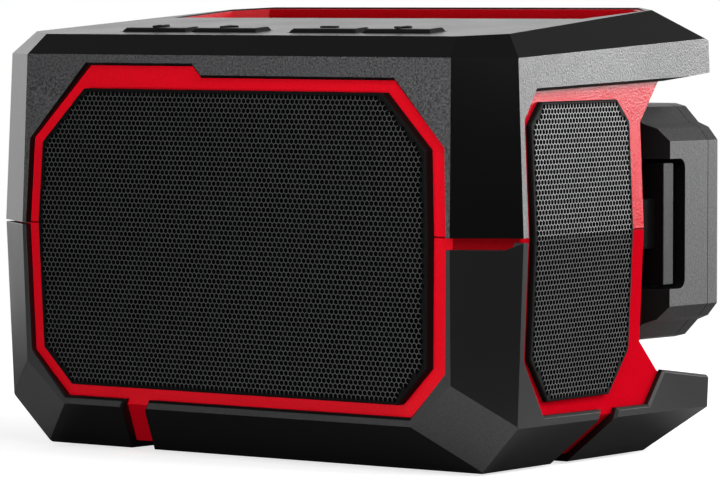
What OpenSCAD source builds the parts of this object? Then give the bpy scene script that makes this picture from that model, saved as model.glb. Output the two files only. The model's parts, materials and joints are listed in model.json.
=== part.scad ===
// Battery-powered speaker with an armoured shell: a red housing in two halves, dark armour over it,
// perforated grilles on three sides, buttons and a tray on the roof, and a slide-on battery at the rear.
// Lengths are millimetres. Depths named *_y are measured from the front face at the parting line.

/* [Body] */
// Width across the side faces at the parting line
body_w = 210; // [200:1:220]
// Depth from the front face to the rear of the overhangs
body_d = 127.6; // [124:0.2:132]
// Height of the roof at its front edge
body_h = 133.7; // [130:0.1:138]
// Height of the parting line between the upper and lower halves
parting_z = 73; // [70:0.5:76]
// Width of each corner facet, seen from the front
corner_w = 18.5; // [17:0.5:21]
// Depth of the corner facets, seen from above
corner_d = 12.5; // [11:0.5:14]
// Lean of the front face above and below the parting line, in degrees
front_rake = 1.8; // [1:0.1:2.5]
// Draft of the side faces above and below the parting line, in degrees
side_draft = 2.6; // [2:0.1:3.2]
// Draft of the corner facets, in degrees
corner_draft = 2; // [1.5:0.1:2.5]
// Taper of the sides towards the rear, in degrees
side_taper = 4.2; // [3.6:0.1:4.8]

/* [Roof] */
// Setback of the roof's front edge from the front face
roof_setback = 8.1; // [6:0.1:10]
// Rise of the roof towards the rear, in degrees
roof_slope = 4.5; // [3.5:0.1:5.5]
// Height of the band under the roof's front edge
band_h = 6.5; // [5:0.1:8]
// Slope of the side band against the vertical, in degrees
side_band_tilt = 42; // [40:0.5:44]
// Distance of the roof's rear end from the rear of the overhangs
rim_in = 11.6; // [10:0.1:13]
// Distance of the roof's side peaks from the rear of the overhangs
ear_in = 21.1; // [19:0.1:23]

/* [Base] */
// Height of the rubber feet under the bumpers
foot_h = 0.6; // [0.3:0.1:1.5]
// Radius of a rubber foot
foot_r = 6; // [4:0.5:7]
// Setback of the bottom's front edge
base_setback = 15.2; // [13:0.1:17]
// Setback of the bottom's side edges from the widest point
base_in = 17.5; // [15:0.5:20]
// Setback of the bottom's rear edge
base_rear_in = 18.1; // [16:0.1:20]
// Height where the lower corner facets start
base_corner_z = 31; // [28:0.5:33]

/* [Shells] */
// Thickness of the armour
armour_t = 2.4; // [2:0.1:3]
// Wall of the red housing
housing_t = 2.4; // [2:0.1:2.8]
// Clearance between pieces that seat on each other
seat_gap = 0.1; // [0.05:0.01:0.2]
// Height of the red groove in the right front corner at the parting line
groove_h = 3.6; // [2:0.1:5]
// Width of the slanted gaps between the bumpers
stripe_w = 9.5; // [7:0.1:12]

/* [Front window] */
// Width of the armour beside the window at the parting line
strip_w = 1.5; // [1:0.1:3]
// Height of the window's lower edge
window_low = 17.7; // [17:0.1:19]
// Distance of the window's upper edge below the roof
window_top = 13.5; // [12.5:0.1:14.5]
// Rise of the raised step in the window's upper left corner
step_h = 3.6; // [2.5:0.1:4]
// Width of the red frame between window and grille
frame_w = 5.3; // [4.5:0.1:6]
// Height of the grille face above the red frame
grille_h = 3.8; // [3:0.1:4.5]
// Thickness of the grille plate
grille_t = 0.8; // [0.6:0.1:1]
// Seat width of the grille's flange round the opening behind it
grille_seat = 4.2; // [3.5:0.1:5]

/* [Side window] */
// Width of the armour strip between the corner facet and the side window
side_strip = 2.8; // [2.2:0.1:4]
// Distance of the side window's brow below the roof
brow_h = 16.6; // [15.5:0.1:18]
// Rise of the brow towards the rear end of the overhang
brow_rise = 4.3; // [3.5:0.1:5]
// Upper edge of the side bumpers
sill_z = 18.2; // [17.5:0.1:19]
// Rise of the rear bumpers' upper edge above the side bumpers
sill_rise = 6.2; // [5.5:0.1:7]
// Width of the red frame in front of the side grilles
side_frame = 4.3; // [3.5:0.1:5]
// Width of the red frame behind the side grilles
side_rear_frame = 9.1; // [8:0.1:10.5]
// Height of the side grille face above the red frame
side_grille_h = 2; // [1.6:0.1:2.4]

/* [Rear bay] */
// Depth of the bay from the rear of the overhangs
bay_d = 40.5; // [38.5:0.1:42]
// Height of the bay's straight rear wall above the sill
bay_wall_low = 19.3; // [18:0.1:21]
// Distance of the straight rear wall's upper end below the brow
bay_wall_high = 10.7; // [9:0.1:12]
// Depth of the bay's flared part
bay_flare = 11.5; // [10.5:0.1:12.5]

/* [Tray] */
// Length of the roof tray from front to rear
tray_l = 38.2; // [30:0.2:42]
// Distance of the tray from the roof's rear end
tray_rear_in = 3.8; // [3.4:0.1:6]
// Distance of the tray's sides from the widest point
tray_in = 21.3; // [21:0.1:26]
// Depth of the tray at its front
tray_d = 13.9; // [11:0.1:15]
// Wall of the tray
tray_t = 1.8; // [1.5:0.1:2]

/* [Buttons] */
// Offset of the button row from the middle of the roof
button_row_x = 3.5; // [2:0.5:6]
// Distance of the button row behind the roof's front edge
button_in = 13.2; // [12.5:0.1:16]
// Length of a button along the row
button_w = 27; // [24:0.1:29]
// Gap between the two buttons of a pair
button_gap = 2; // [1.6:0.1:3]
// Gap between the two pairs of buttons
pair_gap = 13; // [8:0.5:14]
// Depth of a button
button_d = 8.5; // [7.5:0.5:11]
// Height of a button above the roof
button_h = 1.3; // [1.1:0.1:2]
// Travel of a button
button_travel = 0.8; // [0.4:0.1:1]

/* [Drivers] */
// Room between the drivers, and between them and the opening's sides
driver_gap = 1.6; // [1:0.1:4]
// Depth of a driver's basket
basket_d = 20; // [18:0.5:24]
// Radius of a driver's magnet
magnet_r = 20; // [17:0.5:21]
// Travel of a cone to each side of its rest
cone_travel = 2; // [1:0.1:3]

/* [Battery] */
// Distance of the battery's outer end from the widest point
battery_in = 15.5; // [13:0.5:18]
// Clear height between the battery and the overhang
battery_top_gap = 7.9; // [6:0.1:9]
// Clear height between the battery and the rear bumpers
battery_low_gap = 7.4; // [6:0.1:9]
// Room between the dock's rails and the battery's cell block
block_gap = 3.8; // [3.4:0.1:6]
// Depth of the battery's case behind its front face
block_d = 30; // [29:0.1:33]
// Depth of the battery's back cover
cover_d = 5.5; // [4:0.1:7]
// Wall of the battery case
case_t = 2.4; // [2:0.1:2.6]
// Radius of a cell
cell_r = 9.2; // [8.8:0.1:9.6]
// Length of the battery beyond its cells
battery_ends = 24; // [22:0.5:28]
// Clearance between the battery's rails and the dock
rail_gap = 0.4; // [0.3:0.05:0.5]
// Travel of the release latch
latch_travel = 3.5; // [2:0.1:3.8]

/* [Hidden] */
$fn = 48;
reach = 400;
half_w = body_w/2;
front_half = half_w - corner_w;
skin = armour_t + seat_gap;
inner_skin = skin + housing_t;
band_z = body_h - band_h;
rim_y = body_d - rim_in;
ear_y = body_d - ear_in;
base_rear_y = body_d - base_rear_in;
base_half = half_w - base_in;
bay_y = body_d - bay_d;
bay_lip_y = bay_y + bay_flare;
window_half = front_half - strip_w;
window_high = body_h - window_top;
side_front_y = corner_d + side_strip;
brow_z = body_h - brow_h;
brow_rear_z = brow_z + brow_rise;
rear_sill_z = sill_z + sill_rise;
bay_low_z = sill_z + bay_wall_low;
bay_high_z = brow_z - bay_wall_high;
side_grille_y0 = side_front_y + side_frame;
side_grille_y1 = bay_y - side_rear_frame;
screw_r = 1.25;
small_screw_r = 0.9;
screw_clear = 0.15;

// Outer faces of the body, each a point and an outward unit normal.
function tilted(turn, tilt) = [cos(turn)*cos(tilt), sin(turn)*cos(tilt), sin(tilt)];
function flipped(face) = [for (v = face) [-v[0], v[1], v[2]]];
function roof_z(y) = body_h + (y - roof_setback)*tan(roof_slope);
function on_plane_x(face, y, z) =
    face[0][0] - (face[1][1]*(y - face[0][1]) + face[1][2]*(z - face[0][2]))/face[1][0];

corner_turn = atan2(corner_d, corner_w) - 90;
band_rise = band_z - parting_z;
corner_point = [half_w, corner_d, parting_z];
corner_in = band_rise*tan(corner_draft);
band_corner_point = corner_point + [-cos(corner_turn)*corner_in, -sin(corner_turn)*corner_in, band_rise];
band_side_point = [half_w - band_rise*tan(side_draft), corner_d, band_z];
band_side = [band_side_point, tilted(2, side_band_tilt)];
ear_point = [on_plane_x(band_side, ear_y, roof_z(ear_y)), ear_y, roof_z(ear_y)];

front_faces = [
    [[0, 0, parting_z], tilted(-90, front_rake)],
    [[0, 0, parting_z], tilted(-90, -front_rake)]
];
side_faces = [
    [corner_point, tilted(side_taper, side_draft)],
    [corner_point, tilted(side_taper, -side_draft)]
];
middle_faces = [
    [[0, roof_setback, body_h], tilted(-90, 90 - roof_slope)],
    [[0, roof_setback, body_h], tilted(-90, 45)],
    [[0, rim_y, roof_z(rim_y)], tilted(90, 50)],
    [[0, body_d, 0], [0, 1, 0]],
    [[0, base_setback, foot_h], tilted(-90, -43)],
    [[0, 0, foot_h], [0, 0, -1]],
    [[0, base_rear_y, foot_h], tilted(90, -53.5)]
];
right_faces = [
    side_faces[0],
    side_faces[1],
    [corner_point, tilted(corner_turn, corner_draft)],
    [corner_point, tilted(corner_turn, -corner_draft)],
    [band_corner_point, tilted(corner_turn, 46)],
    band_side,
    [ear_point, tilted(44, 64)],
    [[base_half, base_setback, foot_h], tilted(3.7, -45)],
    [[front_half, 0.4, base_corner_z], tilted(-70, -23.3)]
];
all_faces = concat(front_faces, middle_faces, right_faces, [for (f = right_faces) flipped(f)]);

// Half space behind a face that is moved inwards by an inset.
module behind(face, inset) {
    translate(face[0] - inset*face[1])
        rotate([0, acos(face[1][2]), atan2(face[1][1], face[1][0])])
            translate([-reach, -reach, -2*reach])
                cube(2*reach);
}

module envelope(inset) {
    intersection_for (face = all_faces) behind(face, inset);
}

module front_skin(inset) {
    intersection_for (face = front_faces) behind(face, inset);
}

module side_skin(inset) {
    intersection_for (face = side_faces) behind(face, inset);
}

// Outlines drawn in a view and extruded through it.
module front_prism(y0, y1, points) {
    translate([0, y1, 0]) rotate([90, 0, 0]) linear_extrude(y1 - y0) polygon(points);
}

module side_prism(x0, x1, points) {
    translate([x0, 0, 0]) rotate([90, 0, 90]) linear_extrude(x1 - x0) polygon(points);
}

module plan_prism(z0, z1, points) {
    translate([0, 0, z0]) linear_extrude(z1 - z0) polygon(points);
}

module box(low, high) {
    translate(low) cube(high - low);
}

module both_sides() {
    children();
    mirror([1, 0, 0]) children();
}

// The modelled depth runs from the front face, and the part's origin is under the middle of its box.
module placed() {
    translate([0, -middle_y, 0]) children();
}

module above_parting() {
    box([-reach, -reach, parting_z], [reach, reach, reach]);
}

module below_parting() {
    box([-reach, -reach, -reach], [reach, reach, parting_z]);
}

// Front outlines: the window, the grille and the opening behind it share one rule.
edge_lean = 1.2;
high_cut = 20;
low_cut = 14;
frame_inset = frame_w + 0.9;
frame_lift = 1.5;
function height_inset(inset) = inset*0.85 - frame_lift*min(1, inset/frame_inset);
function front_outline(inset) =
    let (half = window_half - inset, drop = height_inset(inset))
    let (low = window_low + drop, high = window_high - drop)
    let (top_cut = high_cut - inset*0.45, bottom_cut = low_cut - inset*0.4)
    let (right = [
        [half, parting_z],
        [half - edge_lean, high - top_cut],
        [half - edge_lean - top_cut, high]
    ], right_low = [
        [half - edge_lean - bottom_cut, low],
        [half - edge_lean, low + bottom_cut]
    ])
    concat(right, [for (i = [2:-1:0]) [-right[i][0], right[i][1]]],
        [for (i = [1:-1:0]) [-right_low[i][0], right_low[i][1]]], right_low);

step_x = -13;
step_cut = window_half - edge_lean - high_cut;
step_outline = [
    [step_x, window_high - 1],
    [step_x, window_high],
    [step_x - step_h, window_high + step_h],
    [-step_cut + step_h, window_high + step_h],
    [-step_cut, window_high],
    [-step_cut, window_high - 1]
];

opening_inset = frame_inset + grille_seat;

// Side outlines, as depth and height.
side_high = brow_z - 3.3;
side_low = sill_z + 4;
function side_outline(inset) =
    let (y0 = side_grille_y0 + inset, y1 = side_grille_y1 - inset,
        low = side_low + inset, high = side_high - inset)
    [
        [y0, low + 13.5 - inset*0.5],
        [y0, high - 7 + inset*0.4],
        [y0 + 7 - inset*0.4, high],
        [y1 - 7 + inset*0.4, high],
        [y1, high - 7 + inset*0.4],
        [y1, low + 13.5 - inset*0.5],
        [y1 - 11 + inset*0.5, low],
        [y0 + 11 - inset*0.5, low]
    ];

brow_lip_y = bay_lip_y + 1;
brow_lip_z = brow_z + 2;
upper_side_cut = [
    [side_front_y, parting_z - 1],
    [side_front_y, brow_z - 8.5],
    [side_front_y + 8.2, brow_z],
    [brow_lip_y, brow_lip_z],
    [body_d, brow_rear_z],
    [body_d + 20, brow_rear_z],
    [body_d + 20, parting_z - 1]
];
sill_lip_y = bay_lip_y + 0.9;
sill_lip_z = rear_sill_z + 3.4;
lower_side_cut = [
    [side_front_y, parting_z + 1],
    [side_front_y, sill_z + 17.3],
    [side_front_y + 13.2, sill_z],
    [bay_lip_y - 7.4, sill_z - 0.8],
    [sill_lip_y, sill_lip_z],
    [body_d, rear_sill_z],
    [body_d + 20, rear_sill_z],
    [body_d + 20, parting_z + 1]
];

// Rear bay of the housing, grown by a wall.
function bay_outline(grow) = [
    [bay_y - grow, bay_low_z - 0.41*grow],
    [bay_y - grow, bay_high_z + 0.41*grow],
    [bay_lip_y - 0.41*grow, brow_lip_z - 0.5 + grow],
    [bay_lip_y + 3, brow_lip_z + 1.1 + grow],
    [body_d, brow_rear_z + 1.2 + grow],
    [body_d + 20, brow_rear_z + 1.2 + grow],
    [body_d + 20, rear_sill_z - 1.2 - grow],
    [body_d, rear_sill_z - 1.2 - grow],
    [bay_lip_y + 3, rear_sill_z + 2 - grow],
    [bay_lip_y - 0.41*grow, rear_sill_z + 3.1 - grow]
];

// Roof tray, grown by its wall.
tray_corner = 8.7;
tray_half = half_w - tray_in;
tray_y1 = rim_y - tray_rear_in;
tray_y0 = tray_y1 - tray_l;
tray_floor_z = roof_z(tray_y0) - tray_d;
function tray_outline(grow) =
    let (right = [
        [tray_half - 1.7 + grow, tray_y0 - grow],
        [tray_half + grow, tray_y1 - tray_corner + 0.41*grow],
        [tray_half - tray_corner + 0.41*grow, tray_y1 + grow]
    ])
    concat(right, [for (i = [2:-1:0]) [-right[i][0], right[i][1]]]);

// Slanted gaps between the bumpers.
front_stripe_x = -39.5;
side_stripe_y = bay_y - 19.5;
stripe_slant = 0.5;
function stripe(middle, half) = [
    [middle - half, sill_z],
    [middle - half - stripe_slant*2*sill_z, -sill_z],
    [middle + half - stripe_slant*2*sill_z, -sill_z],
    [middle + half, sill_z],
    [middle + half, sill_z + 3],
    [middle - half, sill_z + 3]
];
bottom_opening_x = half_w - 46.5;
bottom_opening_y0 = base_setback + 18.8;
bottom_opening_y1 = base_rear_y - 13.5;

// Screws that hold the housing halves together, and the rubber feet.
boss_places = [[half_w - 32.5, side_front_y + 5.2], [half_w - 34.5, bay_y - 9.5]];
foot_places = [[half_w - 32.5, base_setback + 20.8], [half_w - 34.5, base_rear_y - 15.5]];
boss_r = 4;
boss_top_z = parting_z + 22;
boss_well_z = parting_z - 18;
screw_head_r = 3;
screw_head_h = 2.4;

module at_bosses() {
    both_sides() for (p = boss_places) translate([p[0], p[1], 0]) children();
}

module screw(length, head_r, head_h, shank_r) {
    cylinder(h = head_h, r = head_r);
    translate([0, 0, head_h]) cylinder(h = length, r = shank_r);
}

// Roof controls.
button_y = roof_setback + button_in;
cap_front = 1.3;
cap_end = 1.2;
flange_side = button_gap/2 - 0.15;
flange_top = -armour_t - 0.2;
flange_t = 1.4;
stem_r = 2.4;
stem_low = flange_top - flange_t - 2.2;
plunger_top = stem_low - button_travel - 0.15;
switch_h = 2.4;
board_top = plunger_top - 0.6 - switch_h;
board_t = 1.6;
board_boss_r = 2.6;
button_pitch = button_w + button_gap;
pair_shift = (pair_gap - button_gap)/2;
control_half = 1.5*button_pitch + pair_shift + button_w/2 + flange_side + 1;
control_d = button_d/2 + flange_side + 1;
board_boss_x = control_half + board_boss_r + 0.5;
board_boss_y = control_d + board_boss_r - 1;
board_half_l = board_boss_x + board_boss_r + 1;
board_half_d = board_boss_y + board_boss_r + 1;

module on_roof() {
    translate([button_row_x, button_y, roof_z(button_y)]) rotate([roof_slope, 0, 0]) children();
}

function button_x(i) = (i - 1.5)*button_pitch + (i < 2 ? -pair_shift : pair_shift);

module top_armour() {
    color("#2b2c2e") placed() difference() {
        intersection() {
            difference() {
                envelope(0);
                envelope(armour_t);
            }
            above_parting();
        }
        front_prism(-5, side_front_y, front_outline(0));
        front_prism(-5, side_front_y, step_outline);
        side_prism(-reach, reach, upper_side_cut);
        plan_prism(tray_floor_z - 10, reach, tray_outline(tray_t + seat_gap));
        on_roof() for (i = [0:3]) translate([button_x(i), 0, 0])
            box([-button_w/2 - rail_gap, -button_d/2 - rail_gap, -10],
                [button_w/2 + rail_gap, button_d/2 + rail_gap, 10]);
    }
}

// Lower armour before it is split into its bumpers.
// The corner groove keeps its height along most of the corner, then narrows towards the side.
parting_gap = 0.6;
groove_end_h = groove_h*0.4;
groove_outline = [
    [0, parting_z + 1],
    [0, parting_z - groove_h],
    [front_half + 0.74*corner_w, parting_z - groove_h],
    [half_w - 0.2, parting_z - groove_end_h],
    [reach, parting_z - groove_end_h],
    [reach, parting_z + 1]
];

module lower_armour() {
    difference() {
        intersection() {
            difference() {
                envelope(0);
                envelope(armour_t);
            }
            below_parting();
        }
        box([-reach, -reach, parting_z - parting_gap], [reach, reach, parting_z + 1]);
        front_prism(-5, corner_d + 0.3, groove_outline);
        box([0, corner_d, parting_z - groove_end_h], [reach, side_front_y + 1, parting_z + 1]);
        front_prism(-5, side_front_y, front_outline(0));
        side_prism(-reach, reach, lower_side_cut);
        box([-bottom_opening_x, bottom_opening_y0, -5], [bottom_opening_x, bottom_opening_y1, sill_z/2]);
        front_prism(-5, bottom_opening_y0 + 1, stripe(front_stripe_x, stripe_w/2));
        both_sides() side_prism(bottom_opening_x - 1, reach, stripe(side_stripe_y, stripe_w/2));
        front_prism(bottom_opening_y1 - 1, reach, [
            [-stripe_w/2, -5], [stripe_w/2, -5], [stripe_w/2, reach], [-stripe_w/2, reach]
        ]);
        at_bosses() cylinder(h = sill_z, r = screw_head_r + 0.7);
        both_sides() for (p = foot_places)
            translate([p[0], p[1], 0]) cylinder(h = foot_h + armour_t/3, r = foot_r + seat_gap);
    }
}

// Regions that tell the bumpers apart, parted along the middles of the gaps.
module front_region() {
    side_prism(-reach, reach, [
        [-reach, -5], [side_stripe_y - stripe_slant*(sill_z + 5), -5],
        [side_stripe_y, sill_z], [side_stripe_y, reach], [-reach, reach]
    ]);
}

module left_region() {
    front_prism(-reach, reach, [
        [-reach, -5], [front_stripe_x - stripe_slant*(sill_z + 5), -5],
        [front_stripe_x, sill_z], [front_stripe_x, reach], [-reach, reach]
    ]);
    box([-reach, bottom_opening_y0 + 1, -5], [0, reach, reach]);
}

module front_left_bumper() {
    color("#232426") placed() intersection() {
        lower_armour();
        front_region();
        left_region();
    }
}

module front_right_bumper() {
    color("#232426") placed() difference() {
        intersection() {
            lower_armour();
            front_region();
        }
        left_region();
    }
}

module rear_bumper(side) {
    difference() {
        intersection() {
            lower_armour();
            box([min(0, side*reach), -reach, -5], [max(0, side*reach), reach, reach]);
        }
        front_region();
    }
}

module rear_left_bumper() {
    color("#232426") placed() rear_bumper(-1);
}

module rear_right_bumper() {
    color("#232426") placed() rear_bumper(1);
}

module rubber_feet() {
    color("#151515") placed() both_sides() for (p = foot_places)
        translate([p[0], p[1], 0]) cylinder(h = foot_h + armour_t/3, r = foot_r);
}

// The housing before it is split at the parting line.
baffle_y = inner_skin + 1.8;
baffle_t = 4;
radiator_x = min(on_plane_x(side_faces[0], side_grille_y1, side_high),
    on_plane_x(side_faces[1], side_grille_y1, side_low)) - inner_skin - 0.8;
radiator_t = 3;
module housing_walls() {
    difference() {
        union() {
            difference() {
                difference() {
                    envelope(skin);
                    side_prism(-reach, reach, bay_outline(0));
                }
                difference() {
                    envelope(inner_skin);
                    side_prism(-reach, reach, bay_outline(housing_t));
                }
            }
            intersection() {
                envelope(skin);
                union() {
                    front_prism(-5, baffle_y, front_outline(frame_inset - 1));
                    both_sides() side_prism(radiator_x, reach, side_outline(-1));
                }
            }
            intersection() {
                envelope(0.4);
                plan_prism(tray_floor_z - housing_t, reach, tray_outline(tray_t));
            }
        }
        front_prism(-10, baffle_y + 1, front_outline(opening_inset));
        both_sides() side_prism(radiator_x - 1, reach, side_outline(grille_seat));
        plan_prism(tray_floor_z, reach, tray_outline(0));
        on_roof() box([-control_half, -control_d, -10], [control_half, control_d, 10]);
        at_baffle_screws() cylinder(h = baffle_screw_head + baffle_t + 3, r = small_screw_r + screw_clear);
        front_prism(bay_y - 10, bay_y + 5, cable_hole);
    }
}

module upper_housing() {
    color("#c8101e") placed() difference() {
        union() {
            intersection() {
                housing_walls();
                above_parting();
            }
            at_bosses() translate([0, 0, parting_z]) cylinder(h = boss_top_z - parting_z, r = boss_r);
            both_sides() boss_web(parting_z, boss_top_z);
            on_roof() for (x = [-board_boss_x, board_boss_x], y = [-board_boss_y, board_boss_y])
                translate([x, y, board_top]) cylinder(h = -inner_skin + 1 - board_top, r = board_boss_r);
        }
        at_bosses() translate([0, 0, parting_z - 1])
            cylinder(h = boss_top_z - parting_z - 2, r = screw_r + screw_clear);
        on_roof() for (x = [-board_boss_x, board_boss_x], y = [-board_boss_y, board_boss_y])
            translate([x, y, board_top - 1]) cylinder(h = 6, r = small_screw_r + screw_clear);
    }
}

// Webs that tie the screw bosses to the rear and side walls.
web_t = 2;
module boss_web(z0, z1) {
    rear = boss_places[1];
    front = boss_places[0];
    box([rear[0] - web_t/2, rear[1] + boss_r - 1, z0], [rear[0] + web_t/2, bay_y - housing_t/2, z1]);
    intersection() {
        box([front[0], front[1] - boss_r, z0], [reach, front[1] - boss_r + web_t, z1]);
        envelope(skin + housing_t/2);
    }
}

board_half_x = 50;
board_y1 = bay_y - 6.5;
board_y0 = board_y1 - 38;
board_corner = 5.5;
standoff_places = [for (y = [board_y0 + board_corner, board_y1 - board_corner])
    [board_half_x - board_corner, y]];
standoff_r = 3;
board_z = 13;
main_board_t = 1.6;

module at_standoffs() {
    both_sides() for (p = standoff_places) translate([p[0], p[1], 0]) children();
}

module lower_housing() {
    floor_z = foot_h + skin;
    color("#c8101e") placed() difference() {
        union() {
            intersection() {
                housing_walls();
                below_parting();
            }
            intersection() {
                at_bosses() translate([0, 0, floor_z]) cylinder(h = parting_z - floor_z, r = boss_r + 1);
                envelope(skin);
            }
            at_standoffs() translate([0, 0, floor_z + 1])
                cylinder(h = board_z - floor_z - 1, r = standoff_r);
        }
        at_bosses() {
            translate([0, 0, floor_z - 1]) cylinder(h = boss_well_z - floor_z + 1, r = screw_head_r + 0.5);
            cylinder(h = parting_z + 1, r = screw_r + screw_clear);
        }
        at_standoffs() translate([0, 0, board_z - 5]) cylinder(h = 6, r = small_screw_r + screw_clear);
    }
}

module housing_screws() {
    color("#8a8d92") placed() at_bosses() translate([0, 0, boss_well_z - screw_head_h])
        screw(30, screw_head_r, screw_head_h, screw_r);
}

// Grilles: plates that stand on the red frame, with edges bent back to it.
module front_grille() {
    color("#1b1c1e") placed() difference() {
        intersection() {
            front_prism(-20, side_front_y, front_outline(frame_inset));
            front_skin(skin - grille_h);
        }
        intersection() {
            front_prism(-20, side_front_y + 1, front_outline(frame_inset + grille_t));
            front_skin(skin - grille_h + grille_t);
        }
        front_skin(skin - seat_gap);
    }
}

module side_grille() {
    difference() {
        intersection() {
            side_prism(0, reach, side_outline(0));
            side_skin(skin - side_grille_h);
        }
        intersection() {
            side_prism(-1, reach, side_outline(grille_t));
            side_skin(skin - side_grille_h + grille_t);
        }
        side_skin(skin - seat_gap);
    }
}

module right_grille() {
    color("#1b1c1e") placed() side_grille();
}

module left_grille() {
    color("#1b1c1e") placed() mirror([1, 0, 0]) side_grille();
}

// Buttons: a raised cap through the roof, a flange under it and a stem to the switch.
module button(i) {
    on_roof() translate([button_x(i), 0, 0]) {
        intersection() {
            rotate([90, 0, 90]) translate([0, 0, -button_w/2]) linear_extrude(button_w) polygon([
                [-button_d/2, flange_top - 0.5],
                [-button_d/2, 0],
                [-button_d/2 + cap_front, button_h],
                [button_d/2 - cap_front/2, button_h],
                [button_d/2, 0],
                [button_d/2, flange_top - 0.5]
            ]);
            rotate([90, 0, 0]) translate([0, 0, -button_d]) linear_extrude(button_d*2) polygon([
                [-button_w/2, flange_top - 1],
                [-button_w/2, 0],
                [-button_w/2 + cap_end, button_h + 0.1],
                [button_w/2 - cap_end, button_h + 0.1],
                [button_w/2, 0],
                [button_w/2, flange_top - 1]
            ]);
        }
        box([-button_w/2 - flange_side, -button_d/2 - flange_side, flange_top - flange_t],
            [button_w/2 + flange_side, button_d/2 + flange_side, flange_top]);
        translate([0, 0, stem_low]) cylinder(h = flange_top - stem_low - 0.5, r = stem_r);
    }
}

module power_button() {
    color("#37383b") placed() button(0);
}

module play_button() {
    color("#37383b") placed() button(1);
}

module minus_button() {
    color("#37383b") placed() button(2);
}

module plus_button() {
    color("#37383b") placed() button(3);
}

module button_board() {
    color("#1f5a34") placed() on_roof() difference() {
        box([-board_half_l, -board_half_d, board_top - board_t], [board_half_l, board_half_d, board_top]);
        for (x = [-board_boss_x, board_boss_x], y = [-board_boss_y, board_boss_y])
            translate([x, y, board_top - board_t - 1])
                cylinder(h = board_t + 2, r = small_screw_r + screw_clear);
    }
}

module button_switches() {
    color("#2a2a2a") placed() on_roof() for (i = [0:3]) translate([button_x(i), 0, board_top]) {
        box([-3, -3, 0], [3, 3, switch_h]);
        cylinder(h = plunger_top - board_top, r = 1.6);
    }
}

module button_board_screws() {
    color("#8a8d92") placed() on_roof()
        for (x = [-board_boss_x, board_boss_x], y = [-board_boss_y, board_boss_y])
        translate([x, y, board_top - board_t - 1.2]) screw(board_t + 4, 1.8, 1.2, small_screw_r);
}

// Front drivers on a flat baffle behind the housing's opening.
flange_depth = 1.6;
opening_half = window_half - opening_inset;
driver_r = (opening_half - driver_gap)/2;
driver_x = driver_r + driver_gap/2;
driver_z = (window_low + window_high)/2;
driver_hole_r = driver_r - 3.6;
driver_screw_r = driver_r - 1.8;
cone_r = driver_hole_r - 7.4;
coil_r = 8.4;
neck_r = 9.6;
coil_in = 6;
coil_gap_d = coil_in + cone_travel + 2;
back_plate_t = 3;

// Places a turned piece on a driver's axis, with its own axis pointing to the rear.
module on_driver(side) {
    translate([side*driver_x, baffle_y, driver_z]) rotate([-90, 0, 0]) children();
}

module driver_bolts() {
    for (a = [45:90:315]) rotate([0, 0, a]) translate([driver_screw_r, 0, 0]) children();
}

// Screws that hold the baffle on the rim round the opening.
rim_middle = (frame_inset + opening_inset)/2;
baffle_screw_head = 1.4;
baffle_screw_x = window_half - 32;
module at_baffle_screws() {
    for (x = [-baffle_screw_x, 0, baffle_screw_x],
        z = [window_low + height_inset(rim_middle), window_high - height_inset(rim_middle)])
        translate([x, baffle_y + baffle_t + baffle_screw_head, z]) rotate([90, 0, 0]) children();
}

module driver_baffle() {
    color("#26272a") placed() difference() {
        front_prism(baffle_y, baffle_y + baffle_t, front_outline(frame_inset));
        for (side = [-1, 1]) on_driver(side) {
            translate([0, 0, -1]) cylinder(h = baffle_t + 2, r = driver_hole_r);
            driver_bolts() translate([0, 0, -1]) cylinder(h = baffle_t, r = small_screw_r + screw_clear);
        }
        at_baffle_screws() cylinder(h = baffle_t*2, r = small_screw_r + screw_clear);
    }
}

module baffle_screws() {
    color("#8a8d92") placed() at_baffle_screws() screw(baffle_t + 2.5, 2, baffle_screw_head, small_screw_r);
}

module basket() {
    difference() {
        rotate_extrude() polygon([
            [driver_hole_r - 3.4, -flange_depth],
            [driver_r, -flange_depth],
            [driver_r, 0],
            [driver_hole_r - 0.4, 0],
            [magnet_r + 2.2, basket_d - flange_depth - 2],
            [magnet_r + 2.2, basket_d - flange_depth],
            [neck_r, basket_d - flange_depth],
            [neck_r, basket_d - flange_depth - 2],
            [magnet_r + 0.6, basket_d - flange_depth - 2],
            [driver_hole_r - 2, 0],
            [driver_hole_r - 3.4, 0]
        ]);
        for (a = [0:60:300]) rotate([0, 0, a])
            box([magnet_r - 5, -5, baffle_t + 1.5], [driver_r, 5, basket_d - flange_depth - 4]);
        driver_bolts() translate([0, 0, -flange_depth - 1])
            cylinder(h = flange_depth + 2, r = small_screw_r + screw_clear);
    }
}

module magnet() {
    back = basket_d - flange_depth;
    rotate_extrude() polygon([
        [neck_r + 1, back],
        [magnet_r, back],
        [magnet_r, back + coil_gap_d + back_plate_t],
        [0, back + coil_gap_d + back_plate_t],
        [0, back - 1],
        [coil_r - 1.6, back - 1],
        [coil_r - 1.6, back + coil_gap_d],
        [neck_r + 1, back + coil_gap_d]
    ]);
}

// Cone with its dust cap and voice coil in one moving piece.
module cone() {
    back = basket_d - flange_depth;
    cone_deep = back - 6;
    rotate_extrude() polygon([
        [cone_r, -flange_depth],
        [cone_r, -flange_depth + 0.8],
        [coil_r, cone_deep + 0.8],
        [coil_r, back + coil_in],
        [coil_r - 0.6, back + coil_in],
        [coil_r - 0.6, cone_deep - 1],
        [coil_r - 3, cone_deep - 2.4],
        [0, cone_deep - 3.2],
        [0, cone_deep - 4],
        [coil_r - 3, cone_deep - 3.2],
        [coil_r, cone_deep - 1.2],
        [cone_r - 1.2, -flange_depth]
    ]);
}

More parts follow.
